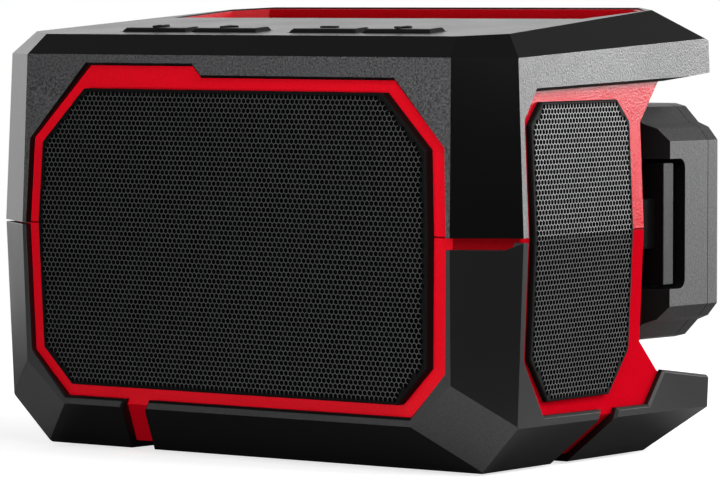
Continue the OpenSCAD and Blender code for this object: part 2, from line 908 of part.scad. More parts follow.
// Rubber roll between the cone and the flange.
module surround() {
    roll_in = cone_r + 0.3;
    roll_out = driver_hole_r - 3;
    roll_r = (roll_out - roll_in)/2;
    rim = 0.6;
    rotate_extrude() union() {
        translate([0, -flange_depth]) difference() {
            translate([roll_in + roll_r, 0]) circle(r = roll_r);
            translate([roll_in + roll_r, 0]) circle(r = roll_r - rim);
            translate([0, 0]) square([driver_r*2, driver_r]);
        }
        translate([roll_out - rim, -flange_depth - rim]) square([driver_r - 4 - roll_out + rim, rim]);
    }
}

module spider() {
    back = basket_d - flange_depth - 2;
    rotate_extrude() polygon([
        [coil_r + 0.3, back - 0.7],
        [magnet_r - 0.4, back - 0.7],
        [magnet_r - 0.4, back],
        [coil_r + 0.3, back]
    ]);
}

module left_basket() {
    color("#3a3c40") placed() on_driver(-1) basket();
}

module right_basket() {
    color("#3a3c40") placed() on_driver(1) basket();
}

module left_magnet() {
    color("#55575c") placed() on_driver(-1) magnet();
}

module right_magnet() {
    color("#55575c") placed() on_driver(1) magnet();
}

module left_cone() {
    color("#222222") placed() on_driver(-1) cone();
}

module right_cone() {
    color("#222222") placed() on_driver(1) cone();
}

module left_surround() {
    color("#111111") placed() on_driver(-1) surround();
}

module right_surround() {
    color("#111111") placed() on_driver(1) surround();
}

module left_spider() {
    color("#b89a55") placed() on_driver(-1) spider();
}

module right_spider() {
    color("#b89a55") placed() on_driver(1) spider();
}

module driver_screws() {
    color("#8a8d92") placed() for (side = [-1, 1]) on_driver(side) driver_bolts()
        translate([0, 0, -flange_depth - 1]) screw(flange_depth + baffle_t - 1.5, 1.6, 1, small_screw_r);
}

// Passive radiators behind the side grilles.
radiator_y = (side_grille_y0 + side_grille_y1)/2;
radiator_z = (side_low + side_high)/2;
roll_w = 5;
roll_rim = 0.7;
roll_flange = 3.2;
radiator_r = (side_grille_y1 - side_grille_y0)/2 - grille_seat - roll_flange - 0.6;

// Places a turned piece on a radiator's axis, with its own axis pointing outwards.
module on_radiator() {
    translate([radiator_x - radiator_t, radiator_y, radiator_z]) rotate([0, 90, 0]) children();
}

module radiator_plate() {
    difference() {
        side_prism(radiator_x - radiator_t, radiator_x, side_outline(0));
        on_radiator() translate([0, 0, -1]) cylinder(h = radiator_t + 2, r = radiator_r);
    }
}

module diaphragm() {
    disc_r = radiator_r - roll_w - 0.3;
    rotate_extrude() polygon([
        [0, 0],
        [disc_r - 4, 0],
        [disc_r, 1.2],
        [disc_r, 2.2],
        [disc_r - 3, 2.2],
        [disc_r - 5, 1.4],
        [0, 1.4]
    ]);
}

module roll() {
    mid = radiator_r - roll_w/2;
    rotate_extrude() union() {
        translate([mid, radiator_t]) difference() {
            circle(r = roll_w/2);
            circle(r = roll_w/2 - roll_rim);
            translate([-roll_w, -roll_w]) square([roll_w*2, roll_w]);
        }
        translate([radiator_r - roll_rim, radiator_t]) square([roll_flange + roll_rim, roll_rim]);
    }
}

module left_radiator_plate() {
    color("#26272a") placed() mirror([1, 0, 0]) radiator_plate();
}

module right_radiator_plate() {
    color("#26272a") placed() radiator_plate();
}

module left_diaphragm() {
    color("#333333") placed() mirror([1, 0, 0]) on_radiator() diaphragm();
}

module right_diaphragm() {
    color("#333333") placed() on_radiator() diaphragm();
}

module left_roll() {
    color("#111111") placed() mirror([1, 0, 0]) on_radiator() roll();
}

module right_roll() {
    color("#111111") placed() on_radiator() roll();
}

// Main board on standoffs over the base.
module main_board() {
    color("#1f5a34") placed() difference() {
        box([-board_half_x, board_y0, board_z], [board_half_x, board_y1, board_z + main_board_t]);
        at_standoffs() cylinder(h = board_z + main_board_t + 1, r = small_screw_r + screw_clear);
    }
}

sink_x = -14;
sink_in = 7;
sink_w = 32;
sink_d = 20;
sink_h = 15;
sink_base = 3;
sink_fin_t = 1.5;
sink_fins = 6;
module heat_sink() {
    color("#a9adb3") placed() translate([sink_x, board_y0 + sink_in, board_z + main_board_t]) {
        cube([sink_w, sink_d, sink_base]);
        for (i = [0:sink_fins - 1]) translate([i*(sink_w - sink_fin_t)/(sink_fins - 1), 0, sink_base/2])
            cube([sink_fin_t, sink_d, sink_h - sink_base/2]);
    }
}

radio_size = [14, 16, 2.6];
module radio_module() {
    color("#b7bcc2") placed()
        translate([sink_x + sink_w + sink_in, board_y0 + sink_d, board_z + main_board_t])
        cube(radio_size);
}

capacitor_r = 5;
capacitor_h = 14;
capacitor_pitch = 12;
module board_capacitors() {
    color("#1d2a55") placed() for (i = [0:1], j = [0:1])
        translate([sink_x - (i + 0.8)*capacitor_pitch,
            board_y0 + sink_in + capacitor_r + j*capacitor_pitch,
                board_z + main_board_t])
            cylinder(h = capacitor_h, r = capacitor_r);
}

module main_board_screws() {
    base = board_z + main_board_t;
    color("#8a8d92") placed() at_standoffs() translate([0, 0, base + 1.2]) mirror([0, 0, 1])
        screw(main_board_t + 4, 1.8, 1.2, small_screw_r);
}

// Dock on the bay's rear wall: a plate with two lipped rails, and a block with contact blades.
dock_t = 4;
battery_high = brow_lip_z - battery_top_gap;
battery_low = sill_lip_z + battery_low_gap;
battery_w = battery_high - battery_low;
battery_z = (battery_high + battery_low)/2;
cell_pitch = 2*cell_r + 0.6;
cell_count = 5;
battery_l = cell_count*cell_pitch + battery_ends;
battery_end_x = half_w - battery_in;
battery_x0 = battery_end_x - battery_l;
dock_y = bay_y + seat_gap;
rail_y = dock_y + dock_t;
tongue_half = 23.6;
neck_half = 19.6;
tongue_y0 = rail_y + 0.6;
tongue_y1 = tongue_y0 + 4;
lip_y = tongue_y1 + rail_gap;
lip_t = 4;
rail_t = 4.5;
block_y = lip_y + lip_t + block_gap;
seam_y = block_y + block_d;
battery_rear_y = seam_y + cover_d;
grille_proud = (grille_h - skin)/cos(front_rake);
middle_y = (battery_rear_y - grille_proud)/2;
stop_x = battery_x0 - 1;
dock_half = bay_high_z - battery_z - 0.5;
dock_screw_in = 3.1;
cable_x = stop_x - 17;
cable_hole = [for (d = [[-4, -5], [4, -5], [4, 5], [-4, 5]]) [cable_x + d[0], battery_z - 1 + d[1]]];
latch_x0 = battery_end_x - 9.4;
dock_end_x = latch_x0 + 4.4;
blade_zs = [-12, -4, 4, 12];
blade_l = 11;

module both_rails() {
    translate([0, 0, battery_z]) {
        children();
        mirror([0, 0, 1]) children();
    }
}

module battery_dock() {
    color("#161719") placed() difference() {
        union() {
            box([stop_x - 27, dock_y, battery_z - dock_half], [dock_end_x, rail_y, battery_z + dock_half]);
            both_rails() {
                box([stop_x, rail_y - 1, tongue_half + rail_gap],
                    [dock_end_x - 4, lip_y + lip_t, tongue_half + rail_gap + rail_t]);
                box([stop_x, lip_y, neck_half + rail_gap],
                    [dock_end_x - 4, lip_y + lip_t, tongue_half + rail_gap + 1]);
            }
        }
        box([latch_x0 - 1, rail_y - 2, battery_z - 9], [reach, rail_y + 1, battery_z + 9]);
        front_prism(dock_y - 1, rail_y + 1, cable_hole);
        dock_screw_places() translate([0, 0, -1]) {
            cylinder(h = dock_t + 2, r = 1.4 + screw_clear);
            cylinder(h = 2.8, r = 3);
        }
    }
}

module dock_screw_places() {
    for (x = [stop_x - 22, dock_end_x - 10], z = [dock_screw_in - dock_half, dock_half - dock_screw_in])
        translate([x, rail_y, battery_z + z]) rotate([90, 0, 0]) children();
}

module dock_screws() {
    color("#8a8d92") placed() dock_screw_places() translate([0, 0, 0.1]) screw(dock_t - 2.2, 2.7, 1.6, 1.4);
}

module terminal_block() {
    color("#0f1011") placed() difference() {
        box([stop_x - 14, rail_y, battery_z - 18], [stop_x - 0.5, lip_y + lip_t, battery_z + 18]);
        for (z = blade_zs)
            box([stop_x - 8, tongue_y0, battery_z + z - 0.5], [stop_x, lip_y + 2, battery_z + z + 0.5]);
    }
}

module dock_blades() {
    color("#c9a24a") placed() for (z = blade_zs)
        box([stop_x - 8, tongue_y0 + 0.1, battery_z + z - 0.4],
            [battery_x0 + blade_l, lip_y + 1.9, battery_z + z + 0.4]);
}

// Battery: a cell block with a chamfered outer end, a tongue for the rails and a back cover.
end_taper_x = 14;
end_taper_z = 12;
shoulder_x = 14;
shoulder_y = 8.5;
block_half = battery_w/2;
recess_half = 20.75;
recess_r = 3;
neck_x1 = latch_x0 - 1.6;

// Steps of the battery's outer end, as distance from the end and from the top or bottom.
end_steps = [[0, 11.6], [3.5, 7.5], [7.4, 6], [12.5, 0.9], [16.3, 0]];
end_outline = concat(
    [for (i = [0:4]) [battery_end_x - end_steps[i][0], battery_z + block_half - end_steps[i][1]]],
    [[battery_x0, battery_z + block_half], [battery_x0, battery_z - block_half]],
    [for (i = [4:-1:0]) [battery_end_x - end_steps[i][0], battery_z - block_half + end_steps[i][1]]]
);

module block_faces(inset) {
    end = battery_end_x;
    intersection() {
        box([battery_x0 + inset, block_y + inset, battery_z - block_half + inset],
            [end - inset, battery_rear_y - inset, battery_z + block_half - inset]);
        if (inset == 0) front_prism(block_y - 1, battery_rear_y + 1, end_outline);
        else both_chamfers(end, inset);
        behind([[end, block_y + shoulder_y, 0],
            [shoulder_y, -shoulder_x, 0]/norm([shoulder_y, shoulder_x])], inset);
    }
}

module both_chamfers(end, inset) {
    slope = [end_taper_z, 0, end_taper_x]/norm([end_taper_z, end_taper_x]);
    behind_pair(
        [[end, 0, battery_z + block_half - end_taper_z], slope],
        [[end, 0, battery_z - block_half + end_taper_z], [slope[0], 0, -slope[2]]],
        inset
    );
}

module behind_pair(face_a, face_b, inset) {
    intersection() {
        behind(face_a, inset);
        behind(face_b, inset);
    }
}

cavity_x1 = latch_x0 - 2.4;
spring_x = neck_x1 - 4;
spring_r = 2.2;
lug_t = 2.5;
pocket_y1 = block_y - 0.5;
lug_y = pocket_y1 - 2 - latch_travel - lug_t;
bar_y0 = block_y + 7;
bar_y1 = bar_y0 + 5.7;
recess_y1 = bar_y1 + latch_travel + 0.8;

module battery_shell() {
    difference() {
        block_faces(0);
        intersection() {
            block_faces(case_t);
            box([-reach, -reach, -reach], [cavity_x1, reach, reach]);
        }
        end_recess();
    }
}

// Recess of the latch in the battery's end, with two round corners.
module end_recess() {
    x0 = latch_x0 - 0.3;
    box([x0, block_y - 1, battery_z - recess_half],
        [reach, recess_y1 - recess_r, battery_z + recess_half]);
    box([x0, block_y - 1, battery_z - recess_half + recess_r],
        [reach, recess_y1, battery_z + recess_half - recess_r]);
    for (z = [recess_r - recess_half, recess_half - recess_r])
        translate([x0, recess_y1 - recess_r, battery_z + z]) rotate([0, 90, 0])
            cylinder(h = reach, r = recess_r);
}

cover_boss_r = 3;
cover_boss_in = case_t + cover_boss_r - 0.6;
cover_boss_x = battery_x0 + cover_boss_in;
cover_boss_z = block_half - cover_boss_in;

module at_cover_bosses() {
    for (z = [-cover_boss_z, cover_boss_z])
        translate([cover_boss_x, battery_rear_y, battery_z + z]) rotate([90, 0, 0]) children();
}

module battery_case() {
    color("#3b3d40") placed() difference() {
        union() {
            intersection() {
                battery_shell();
                box([-reach, -reach, -reach], [reach, seam_y, reach]);
            }
            box([battery_x0, lip_y - rail_gap, battery_z - neck_half],
                [neck_x1, block_y + 1, battery_z + neck_half]);
            box([battery_x0, tongue_y0, battery_z - tongue_half],
                [neck_x1, tongue_y1, battery_z + tongue_half]);
            intersection() {
                at_cover_bosses() translate([0, 0, battery_rear_y - seam_y])
                    cylinder(h = 14, r = cover_boss_r);
                block_faces(0);
            }
        }
        for (z = blade_zs)
            box([battery_x0 - 1, tongue_y0 - 1, battery_z + z - 0.9],
                [battery_x0 + blade_l + 4, lip_y + 3, battery_z + z + 0.9]);
        box([spring_x - 3.2, lug_y - 1, battery_z - 4.5], [latch_x0, pocket_y1, battery_z + 4.5]);
        at_cover_bosses() cylinder(h = battery_rear_y - seam_y + 11, r = small_screw_r + screw_clear);
    }
}

module battery_cover() {
    color("#3b3d40") placed() difference() {
        union() {
            intersection() {
                battery_shell();
                box([-reach, seam_y + seat_gap, -reach], [reach, reach, reach]);
            }
            intersection() {
                at_cover_bosses() cylinder(h = battery_rear_y - seam_y - seat_gap, r = cover_boss_r + 0.6);
                block_faces(0);
            }
        }
        at_cover_bosses() {
            translate([0, 0, -1]) cylinder(h = 3, r = 2.3);
            cylinder(h = 30, r = small_screw_r + screw_clear);
        }
    }
}

module battery_screws() {
    color("#8a8d92") placed() at_cover_bosses() translate([0, 0, 0.4]) screw(12, 2, 1.5, small_screw_r);
}

cell_y = block_y + (block_d + cover_d)/2;
first_cell_x = cavity_x1 - 0.4 - cell_r - (cell_count - 1)*cell_pitch;
carrier_half = block_half - case_t - 0.2;
carrier_t = 5;
cell_half = carrier_half - 2.8;

module at_cells() {
    for (i = [0:cell_count - 1]) translate([first_cell_x + i*cell_pitch, cell_y, battery_z]) children();
}

module battery_cells() {
    color("#2f7fae") placed() at_cells()
        translate([0, 0, -cell_half]) cylinder(h = 2*cell_half, r = cell_r);
}

module cell_carrier() {
    color("#d8d4c4") placed() difference() {
        for (low = [-carrier_half, carrier_half - carrier_t])
            box([first_cell_x - cell_r - 0.5, cell_y - cell_r - 1.5, battery_z + low],
                [first_cell_x + (cell_count - 1)*cell_pitch + cell_r + 0.2,
                    battery_rear_y - case_t - 0.2, battery_z + low + carrier_t]);
        at_cells() translate([0, 0, -cell_half - seat_gap])
            cylinder(h = 2*(cell_half + seat_gap), r = cell_r + 0.15);
        end_clear();
    }
}

// Room for the chamfered end of the case.
module end_clear() {
    difference() {
        box([cavity_x1 - 30, 0, 0], [reach, reach, reach]);
        block_faces(case_t + 0.2);
    }
}

module battery_board() {
    color("#1f5a34") placed()
        box([battery_x0 + 8, block_y + case_t + 0.2, battery_z - 26],
            [cavity_x1 - 14, block_y + case_t + 1.8, battery_z + 26]);
}

module battery_terminals() {
    color("#c9a24a") placed() for (z = blade_zs)
        box([battery_x0 + blade_l + 0.5, tongue_y0 + 0.2, battery_z + z - 0.8],
            [battery_x0 + blade_l + 3.8, lip_y + 2.8, battery_z + z + 0.8]);
}

// Release latch: the bar in the end recess, an arm to the dock and a lug for its spring.
module battery_latch() {
    color("#3b3d40") placed() {
        box([latch_x0, bar_y0, battery_z - recess_half + 1.25],
            [battery_end_x - 1.5, bar_y1, battery_z + recess_half - 1.25]);
        box([latch_x0, rail_y - 1.4, battery_z - 8], [latch_x0 + 4, bar_y0 + 1, battery_z + 8]);
        box([spring_x - 2.4, lug_y, battery_z - 3.6], [latch_x0 + 1, lug_y + lug_t, battery_z + 3.6]);
    }
}

module latch_spring() {
    color("#9a9da2") placed()
        translate([spring_x, lug_y + lug_t + 0.1, battery_z]) rotate([-90, 0, 0])
            difference() {
        cylinder(h = pocket_y1 - lug_y - lug_t - 0.1, r = spring_r);
        translate([0, 0, -1]) cylinder(h = 20, r = spring_r - 0.6);
    }
}

top_armour();
front_left_bumper();
front_right_bumper();
rear_left_bumper();
rear_right_bumper();
upper_housing();
lower_housing();
front_grille();
left_grille();
right_grille();
rubber_feet();
housing_screws();
power_button();
play_button();
minus_button();
plus_button();
button_board();
button_switches();
button_board_screws();
driver_baffle();
baffle_screws();
left_basket();
right_basket();
left_magnet();
right_magnet();
left_cone();
right_cone();
left_surround();
right_surround();
left_spider();
right_spider();
driver_screws();
left_radiator_plate();
right_radiator_plate();
left_diaphragm();
right_diaphragm();
left_roll();
right_roll();
main_board();
heat_sink();
radio_module();
board_capacitors();
main_board_screws();
battery_dock();
terminal_block();
dock_blades();
dock_screws();
battery_case();
battery_cover();
cell_carrier();
battery_cells();
battery_board();
battery_terminals();
battery_latch();
latch_spring();
battery_screws();
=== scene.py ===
"""Looks of a battery speaker with armoured corners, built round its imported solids."""

import json
import math

import bmesh
import bpy
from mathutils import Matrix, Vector
from mathutils.geometry import delaunay_2d_cdt


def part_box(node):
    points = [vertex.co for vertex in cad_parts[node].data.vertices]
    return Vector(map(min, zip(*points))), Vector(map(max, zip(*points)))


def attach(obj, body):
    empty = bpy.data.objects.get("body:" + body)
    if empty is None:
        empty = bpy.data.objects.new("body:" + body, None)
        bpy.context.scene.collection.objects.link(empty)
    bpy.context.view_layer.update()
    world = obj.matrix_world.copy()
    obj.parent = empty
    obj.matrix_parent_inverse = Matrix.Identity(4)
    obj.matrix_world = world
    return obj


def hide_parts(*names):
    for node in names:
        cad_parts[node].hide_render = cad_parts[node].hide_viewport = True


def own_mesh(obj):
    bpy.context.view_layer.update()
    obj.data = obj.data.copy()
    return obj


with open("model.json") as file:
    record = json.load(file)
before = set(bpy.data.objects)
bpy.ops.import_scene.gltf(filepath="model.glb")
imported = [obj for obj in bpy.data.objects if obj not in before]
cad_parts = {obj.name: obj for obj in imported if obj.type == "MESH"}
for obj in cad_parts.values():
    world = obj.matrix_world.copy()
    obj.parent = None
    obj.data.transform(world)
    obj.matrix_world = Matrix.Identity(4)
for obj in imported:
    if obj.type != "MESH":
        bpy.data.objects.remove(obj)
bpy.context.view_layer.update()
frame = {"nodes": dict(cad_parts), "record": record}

# Sizes of the object are in millimetres, and its depths start at the front face, as in the part's source.
# The places of the camera and lamps, the floor, the spring and the depth of a grain are in metres.
FRONT_Y = -69.0997
PARTING_Z = 73.0


def at(x, y, z):
    """A point of the model in the part's frame, in metres."""
    return Vector((x, y + FRONT_Y, z)) * 0.001


def in_part(point):
    """A point of a solid in millimetres, with its depth measured from the front face."""
    return point * 1000 - Vector((0, FRONT_Y, 0))


# Shader nodes


def stretch(tree, factor, low, high, to_low=0.0, to_high=1.0):
    """A value taken from one range to another, and held at its ends."""
    node = tree.nodes.new("ShaderNodeMapRange")
    node.inputs["From Min"].default_value = low
    node.inputs["From Max"].default_value = high
    node.inputs["To Min"].default_value = to_low
    node.inputs["To Max"].default_value = to_high
    tree.links.new(factor, node.inputs["Value"])
    return node.outputs["Result"]


def around(tree, factor, middle, reach):
    """A value from 0 to 1 taken to a range round a middle."""
    return stretch(tree, factor, 0.0, 1.0, middle - reach, middle + reach)


def grey_ramp(tree, factor, stops):
    """A grey ramp with a list of (place, value) stops."""
    ramp = tree.nodes.new("ShaderNodeValToRGB")
    while len(ramp.color_ramp.elements) < len(stops):
        ramp.color_ramp.elements.new(0.5)
    for element, (place, value) in zip(ramp.color_ramp.elements, stops):
        element.position = place
        element.color = (value, value, value, 1)
    tree.links.new(factor, ramp.inputs["Fac"])
    return ramp.outputs["Color"]


def two_tone(tree, factor, dark, light, low=0.3, high=0.7):
    """A ramp from a dark colour to a light one."""
    ramp = tree.nodes.new("ShaderNodeValToRGB")
    ramp.color_ramp.elements[0].position = low
    ramp.color_ramp.elements[1].position = high
    ramp.color_ramp.elements[0].color = (*dark, 1)
    ramp.color_ramp.elements[1].color = (*light, 1)
    tree.links.new(factor, ramp.inputs["Fac"])
    return ramp.outputs["Color"]


def times(tree, first, second):
    node = tree.nodes.new("ShaderNodeMath")
    node.operation = "MULTIPLY"
    tree.links.new(first, node.inputs[0])
    tree.links.new(second, node.inputs[1])
    return node.outputs[0]


def textured(tree, kind, where, **sockets):
    """A texture node with values on its sockets, whose names have underscores for spaces."""
    node = tree.nodes.new(kind)
    tree.links.new(where, node.inputs["Vector"])
    for key, value in sockets.items():
        node.inputs[key.replace("_", " ")].default_value = value
    return node


def bumped(tree, shader, height, distance):
    node = tree.nodes.new("ShaderNodeBump")
    node.inputs["Distance"].default_value = distance
    tree.links.new(height, node.inputs["Height"])
    tree.links.new(node.outputs[0], shader.inputs["Normal"])


def seen_or_not(tree, hidden, seen, out):
    """One shader for what the camera sees, and another for the light that is thrown on."""
    mix = tree.nodes.new("ShaderNodeMixShader")
    path = tree.nodes.new("ShaderNodeLightPath")
    tree.links.new(path.outputs["Is Camera Ray"], mix.inputs[0])
    tree.links.new(hidden, mix.inputs[1])
    tree.links.new(seen, mix.inputs[2])
    tree.links.new(mix.outputs[0], out)


def new_material(name):
    mat = bpy.data.materials.new(name)
    mat.use_nodes = True
    tree = mat.node_tree
    tree.nodes.clear()
    out = tree.nodes.new("ShaderNodeOutputMaterial")
    shader = tree.nodes.new("ShaderNodeBsdfPrincipled")
    tree.links.new(shader.outputs[0], out.inputs[0])
    where = tree.nodes.new("ShaderNodeTexCoord")
    return mat, tree, shader, where.outputs["Object"]


# Materials

STREAKS = (60.0, 60.0, 900.0)
STREAK_DEPTH = 0.00001
PATCH_SCALE = 35.0


def shade(colour, factor):
    return tuple(min(1.0, c * factor) for c in colour)


def moulded(name, colour, rough, grain, depth, spread, specular=0.5, metallic=0.0, patch=0.055):
    """Moulded or painted surface: a fine grain in the bump and the colour, and patches in the roughness."""
    mat, tree, shader, where = new_material(name)
    fine = textured(tree, "ShaderNodeTexNoise", where, Scale=grain, Detail=2.0, Roughness=0.6)
    broad = textured(tree, "ShaderNodeTexNoise", where, Scale=PATCH_SCALE, Detail=3.0)
    dark, light = shade(colour, 1 - spread), shade(colour, 1 + spread)
    tree.links.new(two_tone(tree, fine.outputs["Fac"], dark, light, 0.35, 0.65), shader.inputs["Base Color"])
    tree.links.new(around(tree, broad.outputs["Fac"], rough, patch), shader.inputs["Roughness"])
    bumped(tree, shader, fine.outputs["Fac"], depth)
    shader.inputs["Specular IOR Level"].default_value = specular
    shader.inputs["Metallic"].default_value = metallic
    return mat


def brushed(name, colour, rough):
    """Drawn or rolled metal: fine streaks along one direction."""
    mat, tree, shader, where = new_material(name)
    mapping = tree.nodes.new("ShaderNodeMapping")
    mapping.inputs["Scale"].default_value = STREAKS
    tree.links.new(where, mapping.inputs["Vector"])
    streak = textured(tree, "ShaderNodeTexNoise", mapping.outputs[0], Scale=1.0, Detail=4.0, Roughness=0.6)
    height = streak.outputs["Fac"]
    dark, light = shade(colour, 0.85), shade(colour, 1.1)
    tree.links.new(two_tone(tree, height, dark, light), shader.inputs["Base Color"])
    tree.links.new(stretch(tree, height, 0.0, 1.0, rough - 0.08, rough + 0.1), shader.inputs["Roughness"])
    bumped(tree, shader, height, STREAK_DEPTH)
    shader.inputs["Metallic"].default_value = 1.0
    return mat


def ringed(name, dark, light, rough, pitch, depth):
    """Pressed paper or cloth with rings round a driver's axis and a fibre grain."""
    mat, tree, shader, where = new_material(name)
    fibre = textured(tree, "ShaderNodeTexNoise", where, Scale=900.0, Detail=5.0, Roughness=0.7)
    wave = textured(tree, "ShaderNodeTexWave", where, Scale=pitch, Distortion=0.4, Detail=1.0)
    wave.wave_type = "RINGS"
    wave.rings_direction = "Y"
    tree.links.new(two_tone(tree, fibre.outputs["Fac"], dark, light), shader.inputs["Base Color"])
    tree.links.new(around(tree, fibre.outputs["Fac"], rough, 0.06), shader.inputs["Roughness"])
    both = tree.nodes.new("ShaderNodeMath")
    both.operation = "MULTIPLY_ADD"
    both.inputs[1].default_value = 0.35
    tree.links.new(fibre.outputs["Fac"], both.inputs[0])
    tree.links.new(wave.outputs["Fac"], both.inputs[2])
    bumped(tree, shader, both.outputs[0], depth)
    return mat


def printed_board(name, colour):
    """Solder mask over copper tracks: narrow steps in the bump and a lighter tint."""
    mat, tree, shader, where = new_material(name)
    tracks = textured(
        tree, "ShaderNodeTexBrick", where, Scale=180.0, Mortar_Size=0.03,
        Color1=(*shade(colour, 0.9), 1), Color2=(*shade(colour, 1.15), 1), Mortar=(*shade(colour, 1.7), 1))
    tree.links.new(tracks.outputs["Color"], shader.inputs["Base Color"])
    fine = textured(tree, "ShaderNodeTexNoise", where, Scale=700.0, Detail=2.0)
    tree.links.new(stretch(tree, fine.outputs["Fac"], 0.0, 1.0, 0.25, 0.42), shader.inputs["Roughness"])
    bumped(tree, shader, tracks.outputs["Fac"], 0.00004)
    return mat


# Armour and bumpers
GREY_GRAIN = moulded(
    "armour_grain", (0.054, 0.054, 0.056), 0.47, grain=1600, depth=0.00014, spread=0.6, specular=0.82)
ROOF_GRAIN = moulded(
    "roof_grain", (0.05, 0.05, 0.052), 0.36, grain=1500, depth=0.000025, spread=0.3, specular=0.5)
BLACK_SATIN = moulded(
    "armour_satin", (0.0026, 0.0026, 0.0027), 0.34, grain=2600, depth=0.000012, spread=0.12, specular=0.14)
COLUMN_SATIN = moulded(
    "column_satin", (0.0017, 0.0017, 0.0018), 0.25, grain=2600, depth=0.000012, spread=0.12, specular=0.18,
    patch=0.02)
SIDE_BAND = moulded(
    "side_band", (0.0014, 0.0014, 0.0015), 0.4, grain=2600, depth=0.000012, spread=0.12, specular=0.07)
BUMPER_SATIN = moulded(
    "bumper_satin", (0.004, 0.004, 0.0042), 0.38, grain=2400, depth=0.00002, spread=0.15, specular=0.34)
# Painted light: a paler copy of the bumper's black, for faces that catch light from the floor
BUMPER_PAINTED_LIGHT = moulded(
    "bumper_facet_painted_light", (0.03, 0.03, 0.031), 0.45, grain=2000, depth=0.00004, spread=0.2, specular=0.45)

# Red housing
RED = moulded(
    "red_satin", (0.5, 0.0017, 0.012), 0.21, grain=1500, depth=0.00012, spread=0.12, specular=0.155,
    patch=0.012)
# Painted light: a paler copy of the red for the frame round the front grille
RED_FRONT_LIT = moulded(
    "red_front_painted_light", (0.6, 0.0032, 0.0115), 0.33, grain=1700, depth=0.00004, spread=0.07, specular=0.19,
    patch=0.012)
# Painted shade: a darker copy of the red with no sheen for the lower half, which leans away from the light
RED_LOW_SHADE = moulded(
    "red_low_painted_shade", (0.48, 0.0016, 0.009), 0.4, grain=1700, depth=0.00004, spread=0.07, specular=0.0,
    patch=0.012)
# Painted shade: a dark copy of the red for the parting groove and the seam chamfers
RED_GROOVE_SHADE = moulded(
    "red_groove_painted_shade", (0.19, 0.0008, 0.003), 0.45, grain=1700, depth=0.00004, spread=0.08, specular=0.05,
    patch=0.012)
# Painted shade: a slightly darker copy of the red for the tray's walls
RED_TRAY_SHADE = moulded(
    "red_tray_painted_shade", (0.48, 0.0018, 0.008), 0.4, grain=1700, depth=0.00004, spread=0.08, specular=0.25,
    patch=0.012)

# Grilles
GRILLE_FRONT = moulded(
    "grille_front_paint", (0.062, 0.062, 0.064), 0.3, grain=3200, depth=0.00001, spread=0.2, specular=0.8,
    patch=0.02)
# Painted light: a paler, more metallic copy of the front grille's paint for the side grilles, which catch the
# light
GRILLE_SIDE_LIT = moulded(
    "grille_side_painted_light", (0.12, 0.12, 0.122), 0.34, grain=3200, depth=0.00001, spread=0.2, specular=0.8,
    metallic=0.4, patch=0.02)
# Painted shade: near black for the grille's border, its hole walls and its rolled rim
GRILLE_SHADE = moulded(
    "grille_edge_painted_shade", (0.005, 0.005, 0.0052), 0.55, grain=3200, depth=0.00001, spread=0.2, specular=0.06,
    patch=0.02)
SCREEN_BLACK = moulded(
    "dust_screen", (0.0025, 0.0025, 0.0025), 0.9, grain=3000, depth=0.00008, spread=0.4, specular=0.0)

# Buttons and battery
BUTTON_TOP_GRAIN = moulded(
    "button_grain", (0.06, 0.06, 0.062), 0.38, grain=1800, depth=0.00004, spread=0.3, specular=0.7)
# Painted shade: near black for the buttons' sides, which stand in shade
BUTTON_SIDE_SHADE = moulded(
    "button_side_painted_shade", (0.004, 0.004, 0.0042), 0.6, grain=1800, depth=0.00005, spread=0.2, specular=0.15)
ICON_DARK = moulded(
    "icon_ink", (0.006, 0.006, 0.006), 0.6, grain=2500, depth=0.00002, spread=0.1, specular=0.1)
PACK_GREY = moulded(
    "pack_shell", (0.05, 0.05, 0.052), 0.5, grain=1500, depth=0.00009, spread=0.3)
# Painted shade: a darker copy of the pack's grey for its sloping facets
PACK_FACET_SHADE = moulded(
    "pack_facet_painted_shade", (0.034, 0.034, 0.035), 0.55, grain=1500, depth=0.00005, spread=0.3, specular=0.16)
LATCH_GREY = moulded(
    "latch_grip", (0.03, 0.03, 0.031), 0.5, grain=1500, depth=0.00006, spread=0.3, specular=0.3)
# Black of the dock and the latch, also used as painted shade on the pack's faces towards the bay and in the
# latch's recess
PACK_BLACK_AND_SHADE = moulded(
    "pack_black_and_shade", (0.004, 0.004, 0.0042), 0.5, grain=1800, depth=0.00004, spread=0.2, specular=0.08)

